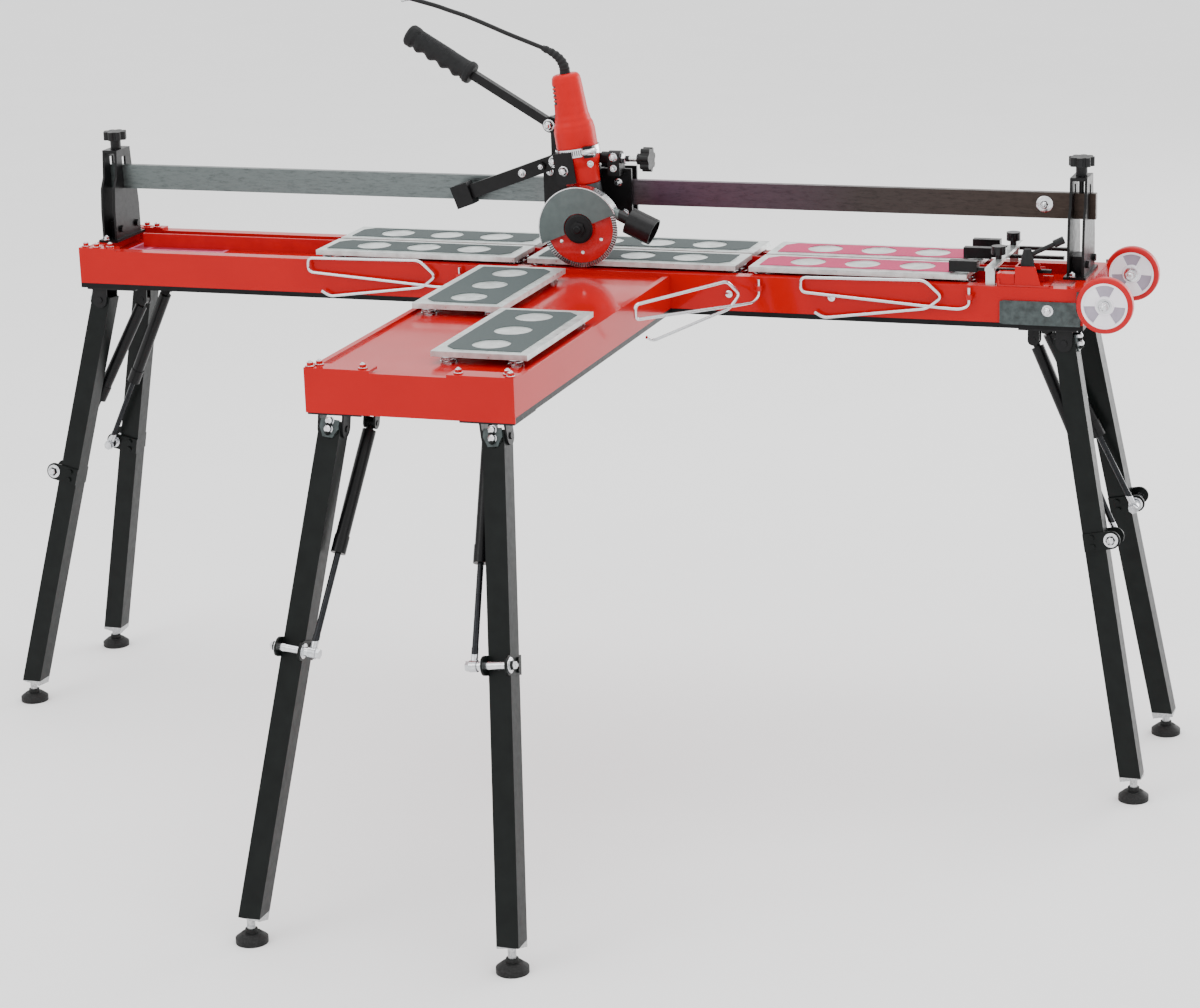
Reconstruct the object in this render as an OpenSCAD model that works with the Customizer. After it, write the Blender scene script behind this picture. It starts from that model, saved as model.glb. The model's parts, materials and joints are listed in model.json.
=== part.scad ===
// Folding tile cutting table: a long main tray, a side arm, six folding legs with stays,
// sprung support plates, and a saw carriage that runs along a rail above the tray.
// Working frame: x from the tray's left end, y from its front face, z from the floor.

/* [Main tray] */
// Length of the main tray
tray_len = 1700; // [1400:10:2000]
// Depth of the main tray, front to back
tray_w = 204; // [190:2:260]
// Height of the tray rim above the floor
tray_top = 794; // [700:2:900]
// Height of the tray's red side wall
tray_h = 56; // [44:1:80]
// Thickness of the folded sheet
sheet = 2.5; // [1.5:0.5:4]
// Width of the rim around the tray's recess
rim_w = 22; // [16:1:30]
// Depth of the recess below the rim
deck_drop = 16; // [10:1:24]
// Height of the black edge trim under the walls
trim_h = 8; // [6:1:12]
// Width of the black edge trim
trim_w = 12; // [8:1:16]

/* [Side arm] */
// Distance from the tray's left end to the arm
arm_left = 728; // [600:2:850]
// Width of the arm
arm_w = 316; // [280:2:360]
// How far the arm stands out from the tray
arm_len = 706; // [600:2:850]
// How far the arm's rim lies below the tray's rim
arm_drop = 3; // [2:1:6]
// Width of the arm's rim
arm_rim = 9; // [6:1:14]
// Depth of the arm's recess
arm_deck_drop = 4; // [4:1:16]

/* [Legs] */
// Outside width of the square leg tube
leg_w = 33; // [25:1:38]
// Wall of the leg tube
leg_wall = 2; // [1.5:0.5:3]
// Distance of a leg's pivot from the tray's end
leg_inset = 30; // [26:1:60]
// Distance of a leg's pivot from the tray's front and back faces
leg_edge = 24; // [22:1:40]
// Outward spread of the two left feet
spread_left = 156; // [100:2:190]
// Outward spread of the two right feet
spread_right = 126; // [100:2:190]
// Spread of the feet across the tray
spread_side = 76; // [40:2:100]
// Distance of the arm legs' pivots from the arm's side faces
arm_leg_inset = 34; // [30:1:60]
// Outward spread of the two arm feet
spread_arm = 217; // [150:1:240]
// Sideways spread of the two arm feet
spread_arm_side = 74; // [40:2:100]
// Radius of a rubber foot
foot_r = 23.5; // [18:0.5:30]

/* [Stays] */
// Diameter of the stay's outer tube
stay_tube_d = 20; // [16:1:24]
// Diameter of the stay's rod
stay_rod_d = 9; // [7:0.5:11]
// Distance of the stay's axis from the middle of the leg
stay_offset = 34; // [32:1:40]
// Height of the stay's lower pin above the floor
stay_pin_z = 404; // [360:2:440]
// Distance from the leg's pivot to the stay's upper pivot
stay_reach = 56; // [50:1:70]

/* [Support plates] */
// Length of a support plate
plate_len = 348; // [280:2:370]
// Depth of a support plate
plate_dep = 96; // [80:1:96]
// Height of the plates' top above the tray rim
plate_rise = 12; // [10:1:16]
// Thickness of a plate's sheet
plate_t = 2; // [1.5:0.5:3]
// How far a plate's edges turn down
plate_skirt = 6; // [4:0.5:6]
// Thickness of the rubber pad on a plate
pad_t = 1.5; // [1:0.5:3]
// Travel of a sprung plate
plate_travel = 3; // [2:0.5:3]

/* [Rail] */
// Height of the rail bar
rail_h = 40; // [30:1:50]
// Thickness of the rail bar
rail_t = 12; // [10:1:16]
// Height of the rail's lower edge above the tray rim
rail_rise = 86; // [80:1:100]
// Height that the rail can be raised
rail_lift = 12; // [6:1:16]

/* [Saw] */
// Diameter of the diamond blade
blade_d = 125; // [105:1:125]
// Distance of the blade's plane behind the tray's front face
blade_y = 12; // [10:0.5:14]
// Lean of the saw's body to the left
saw_lean = 8; // [0:0.5:12]
// Radius of the saw's body at its widest
body_r = 33; // [28:0.5:36]
// Distance from the tray's left end to the blade's middle
saw_x = 892; // [700:2:1200]

/* [Transport wheels] */
// Diameter of a transport wheel
wheel_d = 86; // [70:1:100]
// Width of a transport wheel
wheel_w = 18; // [14:1:24]

/* [Hidden] */
$fn = 48;
eps = 0.01;
run_fit = 0.06;
side_gap = 0.4;
slide_gap = 0.3;
// derived heights and places
wall_bottom = tray_top - tray_h;
trim_bottom = wall_bottom - trim_h;
deck_z = tray_top - deck_drop;
hinge_room = 24;
mount_t = 3;
arm_top = tray_top - arm_drop;
arm_right = arm_left + arm_w;
pivot_z = trim_bottom - hinge_room;
foot_ball_z = 20;
foot_mid_z = 36;
plate_top = tray_top + plate_rise;
plate_low = plate_top - plate_t;
break_y = 118;
row_gap = 8;
front_row_y = break_y - row_gap / 2 - plate_dep;
back_row_y = break_y + row_gap / 2;
plate_pitch = 370;
first_plate_x = 428;
rail_low = tray_top + rail_rise;
rail_high = rail_low + rail_h;
blade_r = blade_d / 2;
blade_z = tray_top + 2.5 + blade_r;
spindle_y = 60;
leg_pin_out = leg_w / 2 + 10;
leg_drop = pivot_z - foot_ball_z;
// origin of the stored part: the middle of the feet, on the floor
feet_x0 = leg_inset - spread_left;
feet_x1 = tray_len - leg_inset + spread_right;
feet_y0 = -arm_len + 18 - spread_arm;
feet_y1 = tray_w - leg_edge + spread_side;
origin = [(feet_x0 + feet_x1) / 2, (feet_y0 + feet_y1) / 2, 0];

// ---------- helpers ----------
module place() { translate(-origin) children(); }
module along_y(d, h, fn = 48) { rotate([-90, 0, 0]) cylinder(d = d, h = h, $fn = fn); }
module along_x(d, h, fn = 48) { rotate([0, 90, 0]) cylinder(d = d, h = h, $fn = fn); }
module hex_bolt(across = 13, head = 6) { cylinder(d = across / cos(30), h = head, $fn = 6); }
module star(r, lobes, h) {
    cylinder(r = r * 0.82, h = h);
    for (i = [0 : lobes - 1])
        rotate([0, 0, i * 360 / lobes]) translate([r * 0.74, 0, 0]) cylinder(r = r * 0.26, h = h);
}
module box_shell(x, y, z, wall) {
    difference() {
        cube([x, y, z]);
        translate([wall, wall, -eps]) cube([x - 2 * wall, y - 2 * wall, z + 2 * eps]);
    }
}
// a tray of folded sheet: outer walls, a rim and a recessed deck, open underneath
module folded_tray(x, y, h, rim, drop, open_back) {
    back_rim = open_back ? sheet : rim;
    difference() {
        cube([x, y, h]);
        difference() {
            translate([sheet, sheet, -eps]) cube([x - 2 * sheet, y - 2 * sheet, h - sheet + eps]);
            translate([rim - sheet, rim - sheet, h - drop - sheet])
                cube([x - 2 * rim + 2 * sheet, y - rim - back_rim + 2 * sheet, drop + sheet]);
        }
        translate([rim, rim, h - drop])
            cube([x - 2 * rim, y - rim - back_rim, drop + eps]);
    }
}

// ---------- table ----------
module main_tray() {
    color([0.85, 0.10, 0.11]) place() translate([0, 0, wall_bottom])
        folded_tray(tray_len, tray_w, tray_h, rim_w, deck_drop, false);
}
module arm_tray() {
    wall_h = arm_top - wall_bottom;
    color([0.80, 0.12, 0.12]) place() {
        translate([arm_left, -arm_len, wall_bottom])
            folded_tray(arm_w, arm_len, wall_h, arm_rim, arm_deck_drop, true);
        translate([arm_left, -arm_len, trim_bottom]) cube([arm_w, sheet, trim_h]);
    }
}
module edge_trim() {
    color([0.13, 0.13, 0.14]) place() {
        translate([0, 0, trim_bottom]) box_shell(tray_len, tray_w, trim_h, trim_w);
        for (x = [arm_left, arm_right - trim_w])
            translate([x, -arm_len + sheet, trim_bottom]) cube([trim_w, arm_len - sheet, trim_h]);
    }
}
corner_t = 4;
corner_len = 100;
corner_dep = 30;
module corner_plate(len, dep, bolts) {
    cube([len, dep, corner_t]);
    for (b = bolts) translate([b[0], b[1], corner_t]) {
        cylinder(d = 14, h = 1.2);
        translate([0, 0, 1.2]) hex_bolt(9, 5);
    }
}
module corner_plates() {
    arm_bolts = [[7, 8], [16, 20], [corner_len - 14, 12]];
    end_bolts = [[8, 12], [30, 8], [52, 14]];
    color([0.82, 0.10, 0.10]) place() {
        translate([arm_left, -arm_len, arm_top]) corner_plate(corner_len, corner_dep, arm_bolts);
        translate([arm_right, -arm_len, arm_top]) mirror([1, 0, 0])
            corner_plate(corner_len, corner_dep, arm_bolts);
        translate([0, 0, tray_top]) corner_plate(66, rim_w, end_bolts);
        translate([0, tray_w, tray_top]) mirror([0, 1, 0]) corner_plate(66, rim_w, end_bolts);
    }
}
bar_t = 4;
module breaking_bar() {
    bar_x0 = rim_w + 40;
    bar_x1 = tray_len - rim_w - 60;
    color([0.80, 0.30, 0.42]) place() translate([bar_x0, break_y - bar_t / 2, deck_z])
        cube([bar_x1 - bar_x0, bar_t, plate_top - 4 - deck_z]);
}

// ---------- legs: one planar mechanism, placed six times ----------
// local frame: pivot at the origin, hinge axis along y, leg down -z, folds towards +x
function leg_pivot(i) = [
    [leg_inset, leg_edge, pivot_z],
    [leg_inset, tray_w - leg_edge, pivot_z],
    [tray_len - leg_inset, leg_edge, pivot_z],
    [tray_len - leg_inset, tray_w - leg_edge, pivot_z],
    [arm_left + arm_leg_inset, -arm_len + 18, pivot_z],
    [arm_right - arm_leg_inset, -arm_len + 18, pivot_z]][i];
side_tilt = atan(spread_side / leg_drop);
arm_tilt = atan(spread_arm_side / leg_drop);
module leg_frame(i) {
    translate(leg_pivot(i))
        if (i < 4) rotate([(i % 2 == 0 ? -1 : 1) * side_tilt, 0, 0])
            mirror([i < 2 ? 0 : 1, 0, 0]) children();
        else rotate([0, (i == 4 ? 1 : -1) * arm_tilt, 0]) rotate([0, 0, 90]) children();
}
function leg_slant(i) = leg_drop / cos(i < 4 ? side_tilt : arm_tilt);
function leg_spread(i) = i < 2 ? spread_left : i < 4 ? spread_right : spread_arm;
function leg_angle(i) = atan(leg_spread(i) / leg_slant(i));
function leg_full(i) = leg_slant(i) / cos(leg_angle(i));
// the stay runs on the side of the leg that faces its partner
function stay_side(i) = i == 0 || i == 2 || i == 5 ? 1 : -1;
// distance down the leg to the stay's lower pin
function pin_down(i) = (pivot_z - stay_pin_z) / leg_drop * leg_full(i);
// local place of the stay's two pivots, seen along the hinge axis
stay_top_drop = -2;
function pin_x(i) = -pin_down(i) * sin(leg_angle(i)) - leg_pin_out * cos(leg_angle(i));
function pin_z(i) = -pin_down(i) * cos(leg_angle(i)) + leg_pin_out * sin(leg_angle(i));
function stay_len(i) = norm([pin_x(i) - stay_reach, pin_z(i) - stay_top_drop]);
function stay_lean(i) = atan2(stay_reach - pin_x(i), stay_top_drop - pin_z(i));

hinge_pin_r = 5;
cheek_t = 3;
cheek_in = leg_w / 2 + side_gap;
leg_head = 8;
module leg_hinge(i) {
    s = stay_side(i);
    for (m = [-1, 1]) {
        y0 = m > 0 ? cheek_in : -cheek_in - cheek_t;
        translate([0, y0, 0]) along_y(26, cheek_t);
        translate([-13, y0, 0]) cube([26, cheek_t, hinge_room + 6]);
    }
    translate([0, -cheek_in - cheek_t - 2, 0]) along_y(2 * hinge_pin_r, 2 * (cheek_in + cheek_t + 2));
    // fork that holds the top of the stay
    translate([stay_reach, s * stay_offset, stay_top_drop]) {
        for (m = [-1, 1]) {
            y0 = m > 0 ? 6 + side_gap : -9 - side_gap;
            translate([0, y0, 0]) along_y(18, 3);
            translate([-9, y0, 0]) cube([18, 3, hinge_room + 6]);
        }
        translate([0, -10.5, 0]) along_y(8, 21);
    }
}
// plate under the trim that both forks are welded to
module mount_plate(i) {
    p = leg_pivot(i);
    low = trim_bottom - mount_t;
    if (i < 4) {
        y0 = i % 2 == 0 ? 2 : tray_w - 76;
        x0 = i < 2 ? p[0] - 20 : p[0] - stay_reach - 14;
        translate([x0, y0, low]) cube([stay_reach + 34, 74, mount_t]);
    } else {
        x0 = i == 4 ? arm_left + 2 : arm_right - 84;
        translate([x0, p[1] - 16, low]) cube([82, stay_reach + 30, mount_t]);
    }
}
module leg_hinges() {
    color([0.30, 0.31, 0.32]) place() intersection() {
        for (i = [0 : 5]) {
            leg_frame(i) leg_hinge(i);
            mount_plate(i);
        }
        translate([-100, -arm_len - 100, 0]) cube([tray_len + 200, arm_len + tray_w + 200, trim_bottom]);
    }
}
ear_t = 3;
ear_r = 14;
tube_end = 14;
module leg_tube(i) {
    len = leg_full(i) - (foot_mid_z - foot_ball_z) / cos(leg_angle(i)) + 2;
    inner = leg_w - 2 * leg_wall;
    // the tube, with a bushed cross hole for its hinge pin
    difference() {
        union() {
            difference() {
                translate([-leg_w / 2, -leg_w / 2, -len]) cube([leg_w, leg_w, len + leg_head]);
                translate([-inner / 2, -inner / 2, -len + tube_end])
                    cube([inner, inner, len + leg_head - 2 * leg_wall - tube_end]);
            }
            translate([0, -leg_w / 2 + leg_wall / 2, 0]) along_y(18, leg_w - leg_wall);
        }
        translate([0, -leg_w / 2 - 1, 0]) along_y(2 * (hinge_pin_r + run_fit), leg_w + 2);
    }
    // lobed plate with two cap nuts on the outer face
    translate([-leg_w / 2, 0, 0]) rotate([0, -90, 0]) {
        translate([-6, -13, 0]) cube([14, 26, 2.5]);
        for (y = [-9, 9]) translate([-6, y, 0]) cylinder(r = 5, h = 2.5);
        translate([-10, 0, 0]) cylinder(r = 7, h = 2.5);
        for (z = [4, -8]) translate([z, 0, 2.5]) {
            hex_bolt(9, 3);
            translate([0, 0, 3]) sphere(r = 4);
        }
    }
}
module leg_clamp(i) {
    s = stay_side(i);
    translate([0, 0, -pin_down(i)]) {
        for (m = [-1, 1]) {
            y0 = m > 0 ? leg_w / 2 : -leg_w / 2 - ear_t;
            translate([-leg_pin_out, y0, 0]) along_y(2 * ear_r, ear_t);
            translate([-leg_pin_out, y0, -ear_r]) cube([leg_pin_out + leg_w / 2, ear_t, 2 * ear_r]);
            for (z = [-7, 7]) translate([3, y0 + (m > 0 ? ear_t : -3), z]) along_y(8, 3, 24);
        }
        translate([-leg_pin_out, -leg_w / 2 - ear_t, 0]) along_y(11, leg_w + 2 * ear_t);
        // bolt head on one side, pin for the stay's eye on the other
        translate([-leg_pin_out, -s * (leg_w / 2 + ear_t) + (s > 0 ? -6 : 0), 0])
            rotate([-90, 0, 0]) hex_bolt(13, 6);
        pin_len = stay_offset - 5.5 - side_gap - leg_w / 2 - ear_t;
        translate([-leg_pin_out, s > 0 ? leg_w / 2 + ear_t : -leg_w / 2 - ear_t - pin_len, 0])
            along_y(13, pin_len);
    }
}
function foot_at(i) = leg_pivot(i) + (
    i < 4 ? [i < 2 ? -leg_spread(i) : leg_spread(i), (i % 2 == 0 ? -1 : 1) * spread_side, -leg_drop]
          : [(i == 4 ? -1 : 1) * spread_arm_side, -spread_arm, -leg_drop]);
module foot(i) {
    f = foot_at(i);
    translate([f[0], f[1], 0]) {
        cylinder(r = foot_r, h = 8);
        translate([0, 0, 8]) cylinder(r1 = foot_r, r2 = foot_r * 0.62, h = 7, $fn = 48);
        translate([0, 0, 15]) cylinder(r = 9, h = 6);
        translate([0, 0, 21]) cylinder(r = 6, h = 20);
    }
}
module leg(i) {
    color([0.10, 0.11, 0.11]) place() {
        leg_frame(i) rotate([0, leg_angle(i), 0]) {
            leg_tube(i);
            leg_clamp(i);
        }
        foot(i);
    }
}
tube_reach = 196;
rod_clear = 0.2;
module stay_frame(i) {
    leg_frame(i) translate([stay_reach, stay_side(i) * stay_offset, stay_top_drop])
        rotate([0, stay_lean(i), 0]) children();
}
module stay_tube(i) {
    bore = stay_rod_d / 2 + rod_clear;
    color([0.08, 0.08, 0.08]) place() stay_frame(i) {
        difference() {
            union() {
                translate([0, -6, 0]) along_y(16, 12);
                translate([0, 0, -16]) cylinder(d = 11, h = 14);
                translate([0, 0, -tube_reach]) cylinder(d = stay_tube_d, h = tube_reach - 12);
                translate([0, 0, -tube_reach]) cylinder(d = stay_tube_d + 2, h = 26);
            }
            translate([0, -7, 0]) along_y(8 + 2 * run_fit, 14);
            translate([0, 0, -tube_reach - 1]) cylinder(r = bore, h = tube_reach - 14);
        }
    }
}
rod_start = 150;
module stay_rod(i) {
    len = stay_len(i);
    color([0.16, 0.16, 0.17]) place() stay_frame(i) {
        translate([0, 0, -len + 24]) cylinder(d = stay_rod_d, h = len - 24 - rod_start);
        translate([0, 0, -len + 6]) cylinder(d = 10, h = 20);
        translate([0, 0, -len]) {
            translate([0, -5.5, 0]) along_y(17, 11);
            translate([0, stay_side(i) > 0 ? 5.5 : -11.5, 0]) rotate([-90, 0, 0]) hex_bolt(13, 6);
        }
    }
}

// ---------- rail and uprights ----------
upright_w = 88;
upright_top = rail_high + 22;
plate_gap = 27;
upright_t = 4;
upright_left_x = 8;
upright_right_x = tray_len - 40;
stud_d = 8;
base_t = 4;
module upright_plate() {
    // outline in the plane across the rail: wide foot, narrow waist and head
    w = upright_w / 2;
    foot_z = tray_top + base_t;
    top_z = upright_top;
    outline = [[-w, foot_z], [-w, foot_z + 48], [-w * 0.90, foot_z + 86], [-w * 0.66, top_z - 40],
               [-w * 0.56, top_z], [w * 0.56, top_z], [w * 0.66, top_z - 40],
               [w * 0.90, foot_z + 86], [w, foot_z + 48], [w, foot_z]];
    translate([upright_t, break_y, 0]) rotate([90, 0, -90]) mirror([1, 0, 0])
        linear_extrude(height = upright_t) difference() {
            polygon(outline);
            translate([-rail_t / 2 - slide_gap, rail_low])
                square([rail_t + 2 * slide_gap, rail_h + rail_lift + 2]);
        }
}
module upright(x0) {
    translate([x0, 0, 0]) upright_plate();
    translate([x0 + plate_gap - upright_t, 0, 0]) upright_plate();
    difference() {
        translate([x0, break_y - upright_w * 0.28, upright_top])
            cube([plate_gap, upright_w * 0.56, 5]);
        translate([x0 + plate_gap / 2, break_y, upright_top - 1])
            cylinder(d = stud_d + 2 * run_fit, h = 7);
    }
    // base plate on the tray's end rim, with a foot block bolted between the plates
    translate([x0 - 4, break_y - 52, tray_top]) cube([plate_gap + 8, 104, base_t]);
    translate([x0 + upright_t, break_y - 20, tray_top + base_t])
        cube([plate_gap - 2 * upright_t, 40, 26]);
    for (y = [-28, 28])
        translate([x0 + plate_gap, break_y + y, tray_top + 20]) rotate([0, 90, 0]) hex_bolt(10, 5);
}
module uprights() {
    color([0.09, 0.09, 0.10]) place() {
        upright(upright_left_x);
        upright(upright_right_x);
    }
}
module rail_bar() {
    x0 = upright_left_x + 2;
    x1 = upright_right_x + plate_gap + 10;
    color([0.42, 0.47, 0.46]) place() {
        difference() {
            translate([x0, break_y - rail_t / 2, rail_low]) cube([x1 - x0, rail_t, rail_h]);
            for (x = [upright_left_x, upright_right_x])
                translate([x + plate_gap / 2, break_y, rail_high - 30])
                    cylinder(d = stud_d + 1, h = 31);
        }
        translate([upright_right_x - 42, break_y - rail_t / 2, rail_low + rail_h / 2 + 2])
            rotate([90, 0, 0]) {
                cylinder(d = 20, h = 2);
                translate([0, 0, 2]) hex_bolt(11, 4);
            }
    }
}
module rail_knob(x0) {
    knob_z = upright_top + 5 + side_gap;
    color([0.07, 0.07, 0.07]) place() translate([x0 + plate_gap / 2, break_y, 0]) {
        translate([0, 0, rail_high - 16]) cylinder(d = stud_d, h = knob_z - rail_high + 18);
        translate([0, 0, knob_z]) cylinder(r = 9, h = 15);
        translate([0, 0, knob_z + 15]) star(20, 8, 14);
    }
}

// ---------- carriage ----------
carriage_x0 = saw_x - 92;
carriage_len = 150;
side_plate_t = 5;
front_plate_y = break_y - rail_t / 2 - 5 - side_plate_t;
back_plate_y = break_y + rail_t / 2 + 5;
roller_r = 8;
carriage_low = rail_low - 20;
carriage_high = rail_high + 20;
lever_pivot = [saw_x - 67, 0, rail_high + 93];
arm_pivot = [saw_x - 62, 0, rail_high + 33];
lever_plane_y = 80;
arm_plane_y = 86;
tilt_axis_y = 92;
tilt_axis_z = rail_high + 38;
tilt_lug_x = saw_x + 26;
lug_len = 12;
ear_len = 20;
module pin_bolt(at, y0, y1, d) {
    translate([at[0], y0, at[2]]) along_y(d, y1 - y0);
}
module carriage() {
    mast_x = lever_pivot[0] - 10;
    color([0.11, 0.11, 0.12]) place() {
        for (y = [front_plate_y, back_plate_y])
            translate([carriage_x0, y, carriage_low])
                cube([carriage_len, side_plate_t, carriage_high - carriage_low]);
        translate([carriage_x0 + 52, front_plate_y, rail_high + 6])
            cube([46, back_plate_y - front_plate_y, 12]);
        // mast that carries the lever and the breaker arm
        translate([mast_x, front_plate_y, carriage_high - 1])
            cube([18, side_plate_t, lever_pivot[2] - carriage_high + 1]);
        translate([lever_pivot[0] - 1, front_plate_y, lever_pivot[2]]) along_y(22, side_plate_t);
        pin_bolt(lever_pivot, lever_plane_y - 12, front_plate_y, 10);
        translate([lever_pivot[0], lever_plane_y - 12, lever_pivot[2]])
            rotate([90, 0, 0]) hex_bolt(14, 6);
        pin_bolt(arm_pivot, arm_plane_y - 12, front_plate_y, 10);
        translate([arm_pivot[0], arm_plane_y - 12, arm_pivot[2]]) rotate([90, 0, 0]) hex_bolt(14, 6);
        // ear that holds the tilt pin
        translate([tilt_lug_x, tilt_axis_y, tilt_axis_z]) along_x(26, ear_len);
        translate([tilt_lug_x, tilt_axis_y - 13, carriage_high - 8])
            cube([ear_len, front_plate_y - tilt_axis_y + 13 + side_plate_t,
                  tilt_axis_z - carriage_high + 8]);
        translate([tilt_lug_x - lug_len - 1, tilt_axis_y, tilt_axis_z])
            along_x(10, lug_len + ear_len + 14);
    }
}
module carriage_rollers() {
    gap = back_plate_y - front_plate_y - side_plate_t;
    color([0.75, 0.77, 0.78]) place()
        for (x = [carriage_x0 + 20, carriage_x0 + carriage_len - 20])
            for (z = [rail_low - roller_r - slide_gap, rail_high + roller_r + slide_gap])
                translate([x, front_plate_y + side_plate_t, z]) along_y(2 * roller_r, gap);
}
lever_angle = 30.5;
lever_bar = 14;
grip_start = 152;
grip_len = 128;
grip_end = grip_start + grip_len;
module lever_frame() {
    translate([lever_pivot[0], lever_plane_y, lever_pivot[2]]) rotate([0, lever_angle, 0])
        mirror([1, 0, 0]) children();
}
module lever() {
    color([0.10, 0.10, 0.10]) place() lever_frame() difference() {
        union() {
            translate([0, -lever_bar / 2, 0]) along_y(26, lever_bar);
            translate([0, -lever_bar / 2, -lever_bar / 2])
                cube([grip_start + 40, lever_bar, lever_bar]);
        }
        translate([0, -lever_bar, 0]) along_y(10 + 2 * run_fit, 2 * lever_bar);
    }
}
module lever_grip() {
    color([0.06, 0.06, 0.06]) place() lever_frame() difference() {
        translate([grip_start, 0, 0]) rotate([0, 90, 0]) rotate_extrude($fn = 48)
            polygon([[0, 0], [15, 0], [17, 8], [15.5, 26], [16.5, 44], [15.5, 62], [16.5, 80],
                     [15.5, 100], [17.5, 114], [16, 124], [11, grip_len], [0, grip_len]]);
        translate([grip_start - 1, -lever_bar / 2 - eps, -lever_bar / 2 - eps])
            cube([42, lever_bar + 2 * eps, lever_bar + 2 * eps]);
    }
}
breaker_angle = 20;
breaker_len = 172;
breaker_h = 23;
module breaker_arm() {
    color([0.10, 0.10, 0.10]) place() translate([arm_pivot[0], arm_plane_y, arm_pivot[2]])
        rotate([0, -breaker_angle, 0]) mirror([1, 0, 0]) {
            difference() {
                union() {
                    translate([0, -6, 0]) along_y(26, 12);
                    translate([0, -6, -breaker_h / 2]) cube([breaker_len, 12, breaker_h]);
                }
                translate([0, -8, 0]) along_y(10 + 2 * run_fit, 16);
            }
            translate([26, -6, 0]) rotate([90, 0, 0]) hex_bolt(13, 6);
            // rubber presser block at the free end
            translate([breaker_len - 14, -13, -breaker_h / 2 - 8]) cube([30, 26, breaker_h + 14]);
        }
}

// ---------- saw ----------
module saw_frame() {
    translate([saw_x, spindle_y, blade_z]) rotate([0, -saw_lean, 0]) children();
}
head_top = 64;
body_top = 241;
spindle_r = 7;
module gear_head() {
    color([0.16, 0.16, 0.17]) place() saw_frame() difference() {
        union() {
            translate([0, -32, 0]) along_y(56, 56);
            translate([-25, -26, 0]) cube([50, 50, 44]);
            translate([0, 0, 40]) cylinder(r = 28, h = head_top - 40);
            translate([0, -38, 0]) along_y(40, 8);
        }
        translate([0, -39, 0]) along_y(2 * (spindle_r + run_fit), 26);
    }
}
module saw_body() {
    profile = [[0, head_top], [28, head_top], [29.5, 90], [body_r, 104], [body_r, 150],
               [body_r - 5.5, 178], [26, 205], [24.5, 233], [21, body_top], [0, body_top]];
    color([0.86, 0.10, 0.12]) place() saw_frame() rotate_extrude() polygon(profile);
}
clamp_z = 110;
module saw_mount() {
    color([0.14, 0.14, 0.15]) place() {
        saw_frame() {
            // hose clamp around the body, with its worm housing
            translate([0, 0, clamp_z]) difference() {
                cylinder(r = body_r + 2.2, h = 14);
                translate([0, 0, -1]) cylinder(r = body_r + eps, h = 16);
            }
            translate([22, -body_r - 4, clamp_z - 2]) cube([16, 12, 18]);
            // clamp plate in front, bent round the housing's left side
            translate([-30, -body_r - 4, 70]) cube([32, 3, 50]);
            difference() {
                translate([-30, -body_r - 4, 70]) cube([3, 30, 32]);
                cylinder(r = body_r + 0.4, h = 120);
            }
            translate([-16, -body_r - 4, 92]) rotate([90, 0, 0]) hex_bolt(12, 5);
            // saddle behind the housing
            translate([-22, body_r + 0.4, 66]) cube([42, 5, 50]);
        }
        // lug that turns on the tilt pin
        lug_x = tilt_lug_x - side_gap - lug_len;
        difference() {
            union() {
                translate([lug_x, tilt_axis_y, tilt_axis_z]) along_x(22, lug_len);
                translate([lug_x - 20, spindle_y + body_r + 0.8, tilt_axis_z - 8])
                    cube([lug_len + 12, 4, 16]);
            }
            translate([lug_x - 21, tilt_axis_y, tilt_axis_z])
                along_x(10 + 2 * run_fit, lug_len + 22);
        }
    }
}
guard_r = blade_r + 4.5;
guard_y0 = -8;
guard_dep = 20;
guard_cut = 22.5;
module guard_cover() {
    difference() {
        translate([0, guard_y0, 0]) along_y(2 * guard_r, guard_dep, 96);
        rotate([0, -guard_cut, 0]) translate([-2 * guard_r, guard_y0 - 1, -2 * guard_r])
            cube([4 * guard_r, guard_dep + 2, 2 * guard_r]);
    }
}
module dust_spout() {
    translate([guard_r - 14, 2, 28]) rotate([0, 24, 0]) {
        along_x(17, 34);
        translate([32, 0, 0]) difference() {
            along_x(43, 44);
            translate([4, 0, 0]) along_x(37, 44);
        }
    }
}
module blade_guard() {
    color([0.45, 0.50, 0.49]) place() translate([saw_x, blade_y, blade_z]) difference() {
        union() {
            guard_cover();
            dust_spout();
        }
        translate([0, guard_y0 + 2, 0]) along_y(2 * (guard_r - 2.5), guard_dep - 4, 96);
        translate([0, guard_y0 - 1, 0]) along_y(50, 4);
        translate([0, guard_y0 + guard_dep - 3, 0]) along_y(42, 4);
    }
}
blade_t = 2.2;
module diamond_blade() {
    hole_ring = blade_r * 0.62;
    color([0.88, 0.14, 0.16]) place() translate([saw_x, blade_y, blade_z]) {
        difference() {
            union() {
                translate([0, -0.8, 0]) along_y(2 * (blade_r - 7), 1.6, 96);
                difference() {
                    translate([0, -blade_t / 2, 0]) along_y(2 * blade_r, blade_t, 96);
                    translate([0, -blade_t, 0]) along_y(2 * (blade_r - 8), 2 * blade_t, 96);
                }
            }
            for (a = [25 : 60 : 360])
                rotate([0, a, 0]) translate([hole_ring, -3, 0]) along_y(6, 6, 24);
        }
        // flange, lock nut and spindle
        translate([0, -6, 0]) along_y(46, 5.2);
        translate([0, -9, 0]) along_y(26, 3);
        translate([0, 0.8, 0]) along_y(36, 5);
        translate([0, 5, 0]) along_y(2 * spindle_r, spindle_y - blade_y - 22);
    }
}
module tilt_knob() {
    x0 = tilt_lug_x + 33 + side_gap;
    color([0.07, 0.07, 0.07]) place() translate([x0, tilt_axis_y, tilt_axis_z]) rotate([0, 90, 0]) {
        cylinder(r = 4.5, h = 15);
        translate([0, 0, 14]) cylinder(r = 9, h = 9);
        translate([0, 0, 22]) star(20, 7, 15);
    }
}

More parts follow.
